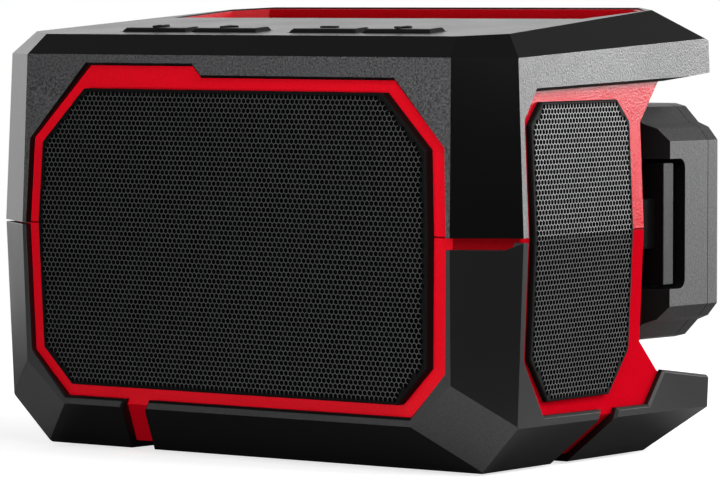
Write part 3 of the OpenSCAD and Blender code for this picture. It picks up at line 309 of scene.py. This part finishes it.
# Slots of the solids that keep their own shape
CARRIED = {
    "rubber": moulded(
        "foot_rubber", (0.018, 0.018, 0.018), 0.8, grain=900, depth=0.00006, spread=0.25, specular=0.3),
    "black_plastic": moulded(
        "glass_filled_black", (0.012, 0.012, 0.013), 0.5, grain=1600, depth=0.00004, spread=0.2),
    "circuit_board": printed_board("solder_mask", (0.012, 0.09, 0.035)),
    "basket_steel": brushed("basket_steel", (0.46, 0.47, 0.48), 0.4),
    "magnet": moulded(
        "ferrite", (0.05, 0.05, 0.055), 0.55, grain=1200, depth=0.00004, spread=0.25, metallic=0.4),
    "cone": ringed(
        "cone_paper", (0.012, 0.012, 0.013), (0.035, 0.034, 0.033), 0.75, pitch=60.0, depth=0.0001),
    "spider": ringed(
        "spider_cloth", (0.33, 0.2, 0.06), (0.5, 0.33, 0.12), 0.8, pitch=90.0, depth=0.0004),
    "aluminium": brushed("aluminium", (0.72, 0.73, 0.74), 0.32),
    "shield": brushed("tinned_shield", (0.66, 0.66, 0.64), 0.28),
    "capacitor": moulded(
        "capacitor_sleeve", (0.02, 0.025, 0.06), 0.35, grain=800, depth=0.00002, spread=0.15),
    "contact": brushed("contact_brass", (0.78, 0.55, 0.22), 0.28),
    "carrier": moulded("cell_carrier", (0.55, 0.52, 0.45), 0.5, grain=1500, depth=0.00003, spread=0.08),
    "cell": moulded("cell_sleeve", (0.03, 0.2, 0.42), 0.3, grain=500, depth=0.00002, spread=0.1),
    "spring_steel": brushed("spring_wire", (0.55, 0.56, 0.58), 0.3),
    "screw": brushed("zinc_screw", (0.62, 0.63, 0.65), 0.33),
}


# Camera, light and floor

LENS_MM = 241.55
CAMERA_PLACE = (0.9627, -1.2278, 0.1450)
CAMERA_TILT = math.radians(90 - 2.87)
CAMERA_TURN = math.radians(38.16)
FLOOR_R = 0.55
FLOOR_Z = -0.0002
FLOOR_TURNS = 96


def make_camera():
    data = bpy.data.cameras.new("photo_camera")
    data.sensor_width = 36
    data.sensor_fit = "HORIZONTAL"
    data.lens = LENS_MM
    data.clip_start = 0.05
    data.clip_end = 20
    cam = bpy.data.objects.new("photo_camera", data)
    bpy.context.collection.objects.link(cam)
    cam.location = CAMERA_PLACE
    cam.rotation_euler = (CAMERA_TILT, 0, CAMERA_TURN)
    bpy.context.scene.camera = cam
    bpy.context.scene.view_settings.view_transform = "Standard"


def make_world():
    """A dim room with a bright low wall behind the object. The camera sees plain white."""
    world = bpy.data.worlds.new("studio")
    bpy.context.scene.world = world
    world.use_nodes = True
    tree = world.node_tree
    tree.nodes.clear()
    out = tree.nodes.new("ShaderNodeOutputWorld")
    where = tree.nodes.new("ShaderNodeTexCoord")
    split = tree.nodes.new("ShaderNodeSeparateXYZ")
    tree.links.new(where.outputs["Generated"], split.inputs[0])
    behind = stretch(tree, split.outputs["Y"], -0.4, 0.5, 0.02, 1.0)
    height = stretch(tree, split.outputs["Z"], -0.25, 0.75)
    wall = grey_ramp(tree, height, [(0.08, 0.06), (0.22, 0.26), (0.42, 2.1), (0.60, 0.5), (0.85, 0.44)])
    dim = tree.nodes.new("ShaderNodeBackground")
    dim.inputs["Color"].default_value = (1, 1, 1, 1)
    tree.links.new(times(tree, behind, wall), dim.inputs["Strength"])
    white = tree.nodes.new("ShaderNodeBackground")
    white.inputs["Color"].default_value = (1, 1, 1, 1)
    white.inputs["Strength"].default_value = 1.0
    seen_or_not(tree, dim.outputs[0], white.outputs[0], out.inputs[0])


def area_light(name, place, aim, size, power):
    data = bpy.data.lights.new(name, "AREA")
    data.shape = "RECTANGLE"
    data.size, data.size_y = size
    data.energy = power
    lamp = bpy.data.objects.new(name, data)
    bpy.context.collection.objects.link(lamp)
    lamp.location = place
    lamp.visible_camera = False
    lamp.rotation_euler = (Vector(aim) - Vector(place)).to_track_quat("-Z", "Y").to_euler()
    return lamp


def make_lamps():
    area_light("key_right", (1.15, 0.2, 1.0), (0.1, 0.02, 0.08), (0.6, 0.6), 14.5)
    area_light("back_right", (0.65, 0.95, 0.29), (0.1, 0.0, 0.1), (0.9, 0.3), 8)
    area_light("rim_left", (-1.1, 0.3, 0.3), (-0.1, 0.0, 0.08), (0.6, 0.9), 2.0)
    area_light("front_fill", (0.24, -0.24, 0.26), (0.05, -0.06, 0.09), (0.16, 0.16), 0.6)
    soft = area_light("front_soft", (0.08, -0.66, 0.05), (0.0, -0.06, 0.05), (0.3, 0.2), 3.4)
    soft.visible_glossy = False


def make_floor():
    """Pale paper under the object, which throws less light back than the camera sees."""
    mesh = bpy.data.meshes.new("floor")
    angles = [math.tau * k / FLOOR_TURNS for k in range(FLOOR_TURNS)]
    rim = [(FLOOR_R * math.cos(a), FLOOR_R * math.sin(a), FLOOR_Z) for a in angles]
    mesh.from_pydata(rim, [], [tuple(range(FLOOR_TURNS))])
    floor = bpy.data.objects.new("floor", mesh)
    bpy.context.collection.objects.link(floor)
    mat, tree, shader, where = new_material("floor_paper")
    noise = textured(tree, "ShaderNodeTexNoise", where, Scale=60.0, Detail=4.0)
    paper = two_tone(tree, noise.outputs["Fac"], (0.52, 0.52, 0.52), (0.56, 0.56, 0.56))
    tree.links.new(paper, shader.inputs["Base Color"])
    shader.inputs["Roughness"].default_value = 0.9
    shader.inputs["Specular IOR Level"].default_value = 0.1
    shader.inputs["Emission Color"].default_value = (1, 1, 1, 1)
    shader.inputs["Emission Strength"].default_value = 0.72
    low = tree.nodes.new("ShaderNodeBsdfDiffuse")
    far = tree.nodes.new("ShaderNodeVectorMath")
    far.operation = "LENGTH"
    tree.links.new(where, far.inputs[0])
    reach = stretch(tree, far.outputs["Value"], 0.0, 0.5)
    thrown = grey_ramp(tree, reach, [(0.2, 0.12), (0.24, 0.6), (0.34, 0.6), (0.44, 0.08)])
    tree.links.new(thrown, low.inputs["Color"])
    seen_or_not(tree, low.outputs[0], shader.outputs[0], tree.nodes["Material Output"].inputs[0])
    mesh.materials.append(mat)


# Pieces


def add_object(name, mesh, mats):
    for mat in mats:
        mesh.materials.append(mat)
    piece = bpy.data.objects.new(name, mesh)
    bpy.context.collection.objects.link(piece)
    return piece


def new_piece(name, places, faces, mats, smooth=False):
    """An object from points and faces, with its normals turned out."""
    mesh = bpy.data.meshes.new(name)
    mesh.from_pydata(places, [], faces)
    bm = bmesh.new()
    bm.from_mesh(mesh)
    bmesh.ops.recalc_face_normals(bm, faces=bm.faces)
    for face in bm.faces:
        face.smooth = smooth
    bm.to_mesh(mesh)
    bm.free()
    return add_object(name, mesh, mats)


# Moulded shells, taken from the solids with softened edges

SEAM_CUT = 0.28

# Where the faces of the shells change from one kind to another
OUTER_FRONT_Y = 6.0
OUTER_SIDE_X = 88.0
BROW_FREE_Y = 100.0
SEAM_CLEAR = 4.0
ON_SEAM = 0.05
ARMOUR_FRONT_Y = 20.0
ARMOUR_SIDE_X = 90.0
ROOF_Z = 130.0
GROOVE_Y = 30.0
FRAME_Y = 12.0
HOUSING_X = 92.0
TRAY_Y = 50.0
TRAY_Z = 112.0
BATTERY_Z = 73.2
RECESS_X = 78.0
RECESS_Y = 121.5
RECESS_HALF = 21.0
PACK_END_X = 88.0
GRIP_Y = 110.0


def outer_face(face):
    """Which outside a shell's face belongs to: the front, a side or neither."""
    c = in_part(face.calc_center_median())
    if face.normal.y < -0.95 and c.y < OUTER_FRONT_Y:
        return "front"
    if abs(c.x) > OUTER_SIDE_X and face.normal.x * c.x > 0.95 * abs(c.x):
        return "side"
    return ""


def leads_in(outer, wall):
    """Whether a wall leads straight in from an outer face."""
    kind = outer_face(outer)
    across, along = abs(wall.normal.x), abs(wall.normal.y)
    if kind == "front":
        return along < 0.2 and across < 0.95
    return kind == "side" and across < 0.3 and along < 0.9


def window_edges(bm):
    """Edges where an outer face of a shell turns into the wall of a window."""
    found = []
    for edge in bm.edges:
        if len(edge.link_faces) != 2 or not edge.is_convex:
            continue
        middle = in_part((edge.verts[0].co + edge.verts[1].co) * 0.5)
        on_free_brow = middle.y > BROW_FREE_Y and middle.z > PARTING_Z
        if abs(middle.z - PARTING_Z) < SEAM_CLEAR or on_free_brow:
            continue
        one, two = edge.link_faces
        if leads_in(one, two) or leads_in(two, one):
            found.append(edge)
    return found


def seam_edges(bm):
    """Outer edges of a housing half where it meets the other half."""
    found = []
    for edge in bm.edges:
        off_seam = max(abs(in_part(v.co).z - PARTING_Z) for v in edge.verts)
        if len(edge.link_faces) != 2 or off_seam > ON_SEAM:
            continue
        outer, flat = sorted(edge.link_faces, key=lambda face: abs(face.normal.z))
        if abs(flat.normal.z) > 0.99 and outer_face(outer):
            found.append(edge)
    return found


def chamfer(bm, edges, width, index):
    bmesh.ops.bevel(bm, geom=edges, offset=width * 0.001, segments=1, affect="EDGES",
                    clamp_overlap=True, material=index)


def dress(node, name, body, mats, pick, width, angle=20.0, cut=0.0, edge=None, seam=None):
    """A copy of a solid with rounded edges.

    pick gives a face's material from its normal and its middle. cut is the width of the window chamfers,
    which get the material edge, and seam is the material of the chamfers at the parting line.
    """
    bm = bmesh.new()
    bm.from_mesh(frame["nodes"][node].data)
    bmesh.ops.remove_doubles(bm, verts=bm.verts, dist=2e-6)
    bmesh.ops.dissolve_limit(bm, angle_limit=math.radians(0.6), verts=bm.verts, edges=bm.edges)
    for face in bm.faces:
        face.material_index = mats.index(pick(face.normal, in_part(face.calc_center_median()))) if pick else 0
    if cut:
        chamfer(bm, window_edges(bm), cut, mats.index(edge))
    if seam:
        chamfer(bm, seam_edges(bm), SEAM_CUT, mats.index(seam))
    for face in bm.faces:
        face.smooth = True
    mesh = bpy.data.meshes.new(name)
    bm.to_mesh(mesh)
    bm.free()
    piece = add_object(name, mesh, mats)
    bevel = piece.modifiers.new("edges", "BEVEL")
    bevel.width = width * 0.001
    bevel.segments = 2
    bevel.limit_method = "ANGLE"
    bevel.angle_limit = math.radians(angle)
    bevel.use_clamp_overlap = True
    weighted = piece.modifiers.new("normals", "WEIGHTED_NORMAL")
    weighted.weight = 100
    weighted.keep_sharp = True
    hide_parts(node)
    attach(piece, body)


def armour_face(n, c):
    """Grain on the cap's front and sides, and satin on its bands and front columns."""
    if 0.3 < n.z < 0.93:
        return SIDE_BAND if abs(n.x) > 0.6 else BLACK_SATIN
    if n.y < -0.25 and abs(n.x) > 0.3:
        return COLUMN_SATIN
    if abs(n.z) < 0.2 and n.y < -0.95 and c.y < ARMOUR_FRONT_Y:
        return GREY_GRAIN
    if abs(n.x) > 0.9 and abs(c.x) > ARMOUR_SIDE_X:
        return GREY_GRAIN
    return ROOF_GRAIN if n.z > 0.9 and c.z > ROOF_Z else BLACK_SATIN


def bumper_face(n, c):
    """Painted light: a paler copy of the bumper's black on the low corner facets and the strips beside the
    front window.
    """
    corner = n.z < -0.2 and n.y < -0.2 and abs(n.x) > 0.3
    return BUMPER_PAINTED_LIGHT if corner or n.y < -0.98 else BUMPER_SATIN


def in_groove(n, c):
    """Whether a face of the housing looks out at a front corner, where only the parting groove shows it."""
    return n.y < -0.3 and abs(n.x) > 0.3 and abs(n.z) < 0.3 and c.y < GROOVE_Y


def in_frame(c):
    """Whether a face of the housing belongs to the frame round the front grille."""
    return c.y < FRAME_Y and abs(c.x) < HOUSING_X


def upper_red(n, c):
    if in_groove(n, c):
        return RED_GROOVE_SHADE
    if c.z > TRAY_Z and c.y > TRAY_Y and abs(c.x) < HOUSING_X:
        return RED_TRAY_SHADE
    return RED_FRONT_LIT if in_frame(c) else RED


def lower_red(n, c):
    if in_groove(n, c):
        return RED_GROOVE_SHADE
    return RED_FRONT_LIT if in_frame(c) else RED_LOW_SHADE


def button_face(n, c):
    return BUTTON_TOP_GRAIN if n.z > 0.9 else BUTTON_SIDE_SHADE


def pack_face(n, c):
    """Grey outside; black towards the bay and in the latch's recess, and darker on the facets, both as
    painted shade.
    """
    in_recess = c.x > RECESS_X and c.y < RECESS_Y and abs(c.z - BATTERY_Z) < RECESS_HALF
    on_end = n.x > 0.9 and c.x > PACK_END_X
    if n.y < -0.5 or (in_recess and not on_end):
        return PACK_BLACK_AND_SHADE
    return PACK_FACET_SHADE if 0.2 < abs(n.z) < 0.97 else PACK_GREY


def latch_face(n, c):
    return LATCH_GREY if n.x > 0.9 and c.y > GRIP_Y else PACK_BLACK_AND_SHADE


def make_shells():
    armour = [GREY_GRAIN, BLACK_SATIN, ROOF_GRAIN, COLUMN_SATIN, SIDE_BAND]
    # The cap's window chamfers take the black satin, which paints a shade line along the window's edges
    dress("top_armour", "armour_cap", "speaker", armour, armour_face, 0.3,
          cut=0.9, edge=BLACK_SATIN)
    bumper = [BUMPER_SATIN, BUMPER_PAINTED_LIGHT]
    for side in ("front_left", "front_right", "rear_left", "rear_right"):
        dress(side + "_bumper", side + "_bumper_shell", "speaker", bumper, bumper_face, 0.3,
              cut=0.8, edge=BUMPER_SATIN)
    dress("upper_housing", "upper_housing_shell", "speaker",
          [RED, RED_TRAY_SHADE, RED_FRONT_LIT, RED_GROOVE_SHADE], upper_red, 0.35, 25.0, seam=RED_GROOVE_SHADE)
    dress("lower_housing", "lower_housing_shell", "speaker",
          [RED_LOW_SHADE, RED_FRONT_LIT, RED_GROOVE_SHADE], lower_red, 0.35, 25.0, seam=RED_GROOVE_SHADE)
    for button in ("power", "play", "minus", "plus"):
        dress(button + "_button", button + "_cap", button + "_button",
              [BUTTON_TOP_GRAIN, BUTTON_SIDE_SHADE], button_face, 0.5)
    for part in ("case", "cover"):
        dress("battery_" + part, "pack_" + part, "battery",
              [PACK_GREY, PACK_BLACK_AND_SHADE, PACK_FACET_SHADE], pack_face, 0.4)
    dress("battery_latch", "pack_latch", "latch", [LATCH_GREY, PACK_BLACK_AND_SHADE], latch_face, 0.4)
    dress("battery_dock", "pack_dock", "speaker", [PACK_BLACK_AND_SHADE], None, 0.3)


# Perforated grilles

SHEET = 0.22
RIM_START = 0.2
RIM_STEP = 3.0
FAN_STEPS = 4
BEND_DEGREES = (22, 44, 66, 90)
HOLE_SIDES = 6
HOLE_OVERLAP = 0.12
SLACK = 1e-6


def inset_polygon(points, inset):
    """A convex outline, wound left, moved inwards."""
    lines = []
    for i, p in enumerate(points):
        d = (points[(i + 1) % len(points)] - p).normalized()
        n = Vector((-d.y, d.x))
        lines.append((p + n * inset, d))
    result = []
    for i, (p, d) in enumerate(lines):
        o, e = lines[i - 1]
        cross = e.x * d.y - e.y * d.x
        t = ((p.x - o.x) * d.y - (p.y - o.y) * d.x) / cross
        result.append(o + e * t)
    return result


def holds(outline, q):
    """Whether a point is inside a convex outline that is wound left."""
    for i, p in enumerate(outline):
        d = outline[(i + 1) % len(outline)] - p
        rel = q - p
        if d.x * rel.y - d.y * rel.x < -SLACK * d.length:
            return False
    return True


def rim_of(core):
    """Points round an outline and the way out at each: a fan at every corner, and steps along every side."""
    border, away = [], []
    for i, p in enumerate(core):
        q = core[(i + 1) % len(core)]
        before = (p - core[i - 1]).normalized()
        after = (q - p).normalized()
        first = math.atan2(-before.x, before.y)
        turn = math.atan2(before.x * after.y - before.y * after.x, before.dot(after))
        for k in range(FAN_STEPS + 1):
            a = first + turn * k / FAN_STEPS
            border.append(p)
            away.append(Vector((math.cos(a), math.sin(a))))
        pieces = max(1, int((q - p).length / RIM_STEP))
        for k in range(1, pieces):
            border.append(p.lerp(q, k / pieces))
            away.append(Vector((after.y, -after.x)))
    return border, away


def hole_centres(field, pitch):
    """Middles of staggered holes in an outline, in rows that are fitted to its height."""
    low = Vector((min(p.x for p in field), min(p.y for p in field)))
    high = Vector((max(p.x for p in field), max(p.y for p in field)))
    row_step = pitch * math.sqrt(3) / 2
    rows = int((high.y - low.y) / row_step) + 1
    columns = int((high.x - low.x) / pitch / 2) + 2
    first = Vector(((low.x + high.x) / 2, (low.y + high.y - (rows - 1) * row_step) / 2))
    centres = []
    for j in range(rows):
        for i in range(-columns, columns + 1):
            c = first + Vector(((i + 0.5 * (j % 2)) * pitch, j * row_step))
            if holds(field, c):
                centres.append(c)
    return centres


def rolled(on, n, far, radius, place):
    """Front and back of the sheet at a distance from a point of its rim, out along n and round the roll."""
    turn = min(far / radius, math.pi / 2)
    down = max(0.0, far - radius * math.pi / 2)
    inner = radius - SHEET
    f = on + n * (radius * math.sin(turn))
    b = on + n * (inner * math.sin(turn))
    front = place(f.x, f.y, radius * (1 - math.cos(turn)) + down)
    back = place(b.x, b.y, radius - inner * math.cos(turn) + down)
    return front, back


def perforated(name, outline, place, deep, radius, pitch, hole, paint, node):
    """A plate with staggered holes in its face, its rim rolled back over a radius, as one closed sheet."""
    core = inset_polygon(outline, radius)
    border, away = rim_of(core)
    rim = len(border)
    coords = [p + n * RIM_START for p, n in zip(border, away)]
    edges = [(i, (i + 1) % rim) for i in range(rim)]
    owner = [-1] * rim
    angles = [math.radians(30 + 60 * k) for k in range(HOLE_SIDES)]
    spokes = [Vector((math.cos(a), math.sin(a))) * hole for a in angles]
    holes = []
    for c in hole_centres(inset_polygon(core, hole - HOLE_OVERLAP), pitch):
        first = len(coords)
        owner += [len(holes)] * HOLE_SIDES
        holes.append([first + k for k in range(HOLE_SIDES)])
        coords += [c + s for s in spokes]
        edges += [(first + k, first + (k + 1) % HOLE_SIDES) for k in range(HOLE_SIDES)]
    points, _, triangles, origin = delaunay_2d_cdt(coords, edges, [], 1, 1e-7)[:4]
    index = [ids[0] for ids in origin]
    lookup = {k: v for v, k in enumerate(index)}

    # The front and back of every point, and then of the rings down the rolled rim
    pairs = []
    for q, k in zip(points, index):
        if k < rim:
            pairs.append(rolled(border[k], away[k], RIM_START, radius, place))
        else:
            pairs.append(rolled(q, Vector((0, 0)), 0.0, radius, place))
    rings = [[lookup[k] for k in range(rim)]]
    reach = radius * math.pi / 2 + deep - radius
    for far in [radius * math.radians(a) for a in BEND_DEGREES] + [reach]:
        rings.append([len(pairs) + k for k in range(rim)])
        pairs += [rolled(p, n, far, radius, place) for p, n in zip(border, away)]
    count = len(pairs)

    # The web between the holes has the paint; its border, the hole walls and the rim are dark, as painted
    # shade
    faces, tones = [], []
    for tri in triangles:
        owners = {owner[index[v]] for v in tri}
        inside_hole = len(owners) == 1 and owners != {-1}
        if inside_hole:
            continue
        faces.append(tuple(tri))
        faces.append(tuple(v + count for v in reversed(tri)))
        longest = max((points[tri[k]] - points[tri[k - 1]]).length for k in range(3))
        tones += [1 if -1 in owners or longest > 1.2 * hole else 0] * 2
    for ring in holes:
        loop = [lookup[k] for k in ring]
        for k in range(HOLE_SIDES):
            a, b = loop[k], loop[(k + 1) % HOLE_SIDES]
            faces.append((b, a, a + count, b + count))
    for inside, outside in zip(rings, rings[1:]):
        for k in range(rim):
            m = (k + 1) % rim
            quad = (inside[k], outside[k], outside[m], inside[m])
            faces.append(quad)
            faces.append(tuple(v + count for v in reversed(quad)))
    for k in range(rim):
        a, b = rings[-1][k], rings[-1][(k + 1) % rim]
        faces.append((a, a + count, b + count, b))
    places = [front for front, back in pairs] + [back for front, back in pairs]
    piece = new_piece(name, places, faces, [paint, GRILLE_SHADE])
    piece.data.polygons.foreach_set("material_index", tones + [1] * (len(faces) - len(tones)))
    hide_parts(node)
    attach(piece, "speaker")


def dust_screen(name, outline, place, depths):
    """Thin black cloth behind a grille, folded at the parting line, between two depths."""
    cuts = []
    for i, p in enumerate(outline):
        q = outline[(i + 1) % len(outline)]
        cuts.append(p)
        if (p.y - PARTING_Z) * (q.y - PARTING_Z) < 0:
            cuts.append(p.lerp(q, (PARTING_Z - p.y) / (q.y - p.y)))
    n = len(cuts)
    upper = [i for i in range(n) if cuts[i].y >= PARTING_Z - SLACK]
    lower = [i for i in range(n) if cuts[i].y <= PARTING_Z + SLACK]
    faces = []
    for group in (upper, lower):
        start = next(k for k in range(len(group)) if (group[k] - group[k - 1]) % n != 1)
        loop = group[start:] + group[:start]
        faces += [tuple(loop), tuple(v + n for v in reversed(loop))]
    faces += [(i, i + n, (i + 1) % n + n, (i + 1) % n) for i in range(n)]
    places = [place(p.x, p.y, depth) for depth in depths for p in cuts]
    piece = new_piece(name, places, faces, [SCREEN_BLACK])
    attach(piece, "speaker")


# Window in the front, and how far the red frame reaches in from it
WINDOW_HALF = 85.0
WINDOW_LOW = 17.7
WINDOW_HIGH = 120.2
HIGH_CUT = 20.0
LOW_CUT = 14.0
EDGE_LEAN = 1.2
FRAME_INSET = 6.2
FRAME_LIFT = 1.5
DROP_SHARE = 0.85
HIGH_CUT_SHARE = 0.45
LOW_CUT_SHARE = 0.4
FRONT_RAKE = math.radians(1.8)
GRILLE_STANDS = 1.3
GRILLE_SEAT_Y = 2.4

# Window in a side: front, rear, low and high edges, and its cut corners
SIDE_WINDOW = (19.6, 78.0, 22.2, 113.8)
SIDE_HIGH_CUT = 7.0
SIDE_LOW_CUT = (11.0, 13.5)
SIDE_TURN = math.radians(4.2)
SIDE_DRAFT = math.radians(2.6)
SIDE_POINT = (105.0, 12.5)
SIDE_SUNK = 0.5
SIDE_DEEP = 1.9

# Holes, rolled rims, and the screens' depths under a grille's face
HOLE_PITCH = 1.765
FRONT_HOLE = 0.89
SIDE_HOLE = 0.88
FRONT_ROLL = 0.75
SIDE_ROLL = 0.7
SCREEN_INSET = 0.7
FRONT_SCREEN = (0.8, 1.2)
SIDE_SCREEN = (0.8, 1.15)


def front_outline():
    """Outline of the front grille, as far inside the window as the red frame is wide."""
    half = WINDOW_HALF - FRAME_INSET
    drop = FRAME_INSET * DROP_SHARE - FRAME_LIFT
    low, high = WINDOW_LOW + drop, WINDOW_HIGH - drop
    top_cut = HIGH_CUT - FRAME_INSET * HIGH_CUT_SHARE
    bottom_cut = LOW_CUT - FRAME_INSET * LOW_CUT_SHARE
    right = [
        (half - EDGE_LEAN - bottom_cut, low), (half - EDGE_LEAN, low + bottom_cut), (half, PARTING_Z),
        (half - EDGE_LEAN, high - top_cut), (half - EDGE_LEAN - top_cut, high),
    ]
    return [Vector(p) for p in right + [(-x, z) for x, z in reversed(right)]]


def side_outline():
    y0, y1, low, high = SIDE_WINDOW
    top = SIDE_HIGH_CUT
    foot, rise = SIDE_LOW_CUT
    points = [
        (y0 + foot, low), (y1 - foot, low), (y1, low + rise), (y1, high - top),
        (y1 - top, high), (y0 + top, high), (y0, high - top), (y0, low + rise),
    ]
    return [Vector(p) for p in points]


def on_front(x, z, depth):
    """A point at a depth under the front grille's face, which leans back from the parting line."""
    lean = abs(z - PARTING_Z) * math.tan(FRONT_RAKE)
    return at(x, lean - GRILLE_STANDS / math.cos(FRONT_RAKE) + depth, z)


def on_side(sign):
    """A function for points at a depth under a side grille's face."""
    nx = math.cos(SIDE_TURN) * math.cos(SIDE_DRAFT)
    ny = math.sin(SIDE_TURN) * math.cos(SIDE_DRAFT)
    nz = math.sin(SIDE_DRAFT)
    corner_x, corner_y = SIDE_POINT

    def place(y, z, depth):
        lean = (ny * (y - corner_y) + nz * abs(z - PARTING_Z)) / nx
        return at(sign * (corner_x - lean - SIDE_SUNK / nx - depth), y, z)

    return place


def make_grilles():
    front = front_outline()
    perforated("front_grille_mesh", front, on_front, GRILLE_SEAT_Y + GRILLE_STANDS, FRONT_ROLL,
               HOLE_PITCH, FRONT_HOLE, GRILLE_FRONT, "front_grille")
    dust_screen("front_dust_screen", inset_polygon(front, SCREEN_INSET), on_front, FRONT_SCREEN)
    side_line = side_outline()
    for sign, side in ((1, "right"), (-1, "left")):
        place = on_side(sign)
        perforated(side + "_grille_mesh", side_line, place, SIDE_DEEP, SIDE_ROLL,
                   HOLE_PITCH, SIDE_HOLE, GRILLE_SIDE_LIT, side + "_grille")
        dust_screen(side + "_dust_screen", inset_polygon(side_line, SCREEN_INSET), place, SIDE_SCREEN)


# Marks on the buttons

ROOF_SLOPE = math.radians(4.5)
ROOF_EDGE = (8.1, 133.7)
BUTTON_Y = 21.3
BUTTON_TOP = 1.3
BUTTON_PITCH = 29.0
PAIR_SHIFT = 5.5
BUTTON_SHIFT = 3.5
MARK_SUNK = 0.03
MARK_RISE = 0.5
STROKE = 1.4


def roof_point(x, along, rise):
    """A point over the roof, from the line through the buttons' middles."""
    edge_y, edge_z = ROOF_EDGE
    z = edge_z + (BUTTON_Y - edge_y) * math.tan(ROOF_SLOPE)
    c, s = math.cos(ROOF_SLOPE), math.sin(ROOF_SLOPE)
    return at(x, BUTTON_Y + along * c - rise * s, z + along * s + rise * c)


def bar(w, h, cy=0.0):
    return [(-w / 2, cy - h / 2), (w / 2, cy - h / 2), (w / 2, cy + h / 2), (-w / 2, cy + h / 2)]


def arc(r0, r1, a0, a1, steps):
    angles = [math.radians(a0 + (a1 - a0) * k / steps) for k in range(steps + 1)]
    outer = [(r1 * math.cos(a), r1 * math.sin(a)) for a in angles]
    inner = [(r0 * math.cos(a), r0 * math.sin(a)) for a in reversed(angles)]
    return outer + inner


def mark(name, body, x, shapes):
    """Raised flat shapes on a button's top, each given by a loop of points."""
    places, faces = [], []
    for loop in shapes:
        n, first = len(loop), len(places)
        for rise in (BUTTON_TOP - MARK_SUNK, BUTTON_TOP + MARK_RISE):
            places += [roof_point(x + u, v, rise) for u, v in loop]
        faces += [tuple(first + k for k in reversed(range(n))), tuple(first + n + k for k in range(n))]
        for k in range(n):
            m = (k + 1) % n
            faces.append((first + k, first + m, first + n + m, first + n + k))
    piece = new_piece(name, places, faces, [ICON_DARK])
    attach(piece, body)


def make_marks():
    shifts = (-PAIR_SHIFT, -PAIR_SHIFT, PAIR_SHIFT, PAIR_SHIFT)
    x = [BUTTON_SHIFT + (i - 1.5) * BUTTON_PITCH + shift for i, shift in enumerate(shifts)]
    mark("power_mark", "power_button", x[0], [arc(1.9, 2.8, 125, 415, 24), bar(0.9, 2.6, 2.0)])
    mark("play_mark", "play_button", x[1], [[(-2.4, -2.6), (3.2, 0.0), (-2.4, 2.6)]])
    mark("minus_mark", "minus_button", x[2], [bar(6.4, STROKE)])
    mark("plus_mark", "plus_button", x[3],
         [bar(6.0, STROKE), bar(STROKE, 2.1, 1.75), bar(STROKE, 2.1, -1.75)])


# Latch spring

WIRE_R = 0.00032
WIRE_SIDES = 8
SPRING_TURNS = 7
TURN_STEPS = 20

# Closed turns at each end, which sink into one another by a tenth of the wire
CLOSED_TURNS = 0.9
CLOSED_PITCH = 2 * WIRE_R * 0.9


def make_spring():
    """A wound wire with closed ends."""
    low, high = (Vector(p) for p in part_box("latch_spring"))
    middle = (low + high) / 2
    coil_r = (high.x - low.x) / 2 - WIRE_R
    climb_y = high.y - low.y - 2 * WIRE_R - 2 * CLOSED_TURNS * CLOSED_PITCH
    places, faces = [], []
    for k in range(SPRING_TURNS * TURN_STEPS + 1):
        turn = k / TURN_STEPS
        closed = min(turn, CLOSED_TURNS) + max(0.0, turn - SPRING_TURNS + CLOSED_TURNS)
        climbed = min(1.0, max(0.0, (turn - CLOSED_TURNS) / (SPRING_TURNS - 2 * CLOSED_TURNS)))
        along = closed * CLOSED_PITCH + climbed * climb_y
        a = math.tau * turn
        out = Vector((math.cos(a), 0, math.sin(a)))
        heart = Vector((middle.x, low.y + WIRE_R + along, middle.z)) + out * coil_r
        for m in range(WIRE_SIDES):
            b = math.tau * m / WIRE_SIDES
            places.append(heart + (out * math.cos(b) + Vector((0, 1, 0)) * math.sin(b)) * WIRE_R)
    last = len(places) - WIRE_SIDES
    for k in range(0, last, WIRE_SIDES):
        for m in range(WIRE_SIDES):
            n = (m + 1) % WIRE_SIDES
            faces.append((k + m, k + n, k + WIRE_SIDES + n, k + WIRE_SIDES + m))
    faces += [tuple(range(WIRE_SIDES)), tuple(reversed(range(last, last + WIRE_SIDES)))]
    piece = new_piece("latch_coil", places, faces, [CARRIED["spring_steel"]], smooth=True)
    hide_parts("latch_spring")
    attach(piece, "battery")
    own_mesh(piece)


# Solids that keep their own shape


def finish_carried():
    slots = {part["node"]: part["material_slot"] for part in frame["record"]["subparts"]}
    for node, thing in frame["nodes"].items():
        mat = CARRIED.get(slots.get(node))
        if mat is not None:
            thing.data.materials.clear()
            thing.data.materials.append(mat)


make_camera()
make_world()
make_lamps()
make_floor()
make_shells()
make_grilles()
make_marks()
make_spring()
finish_carried()
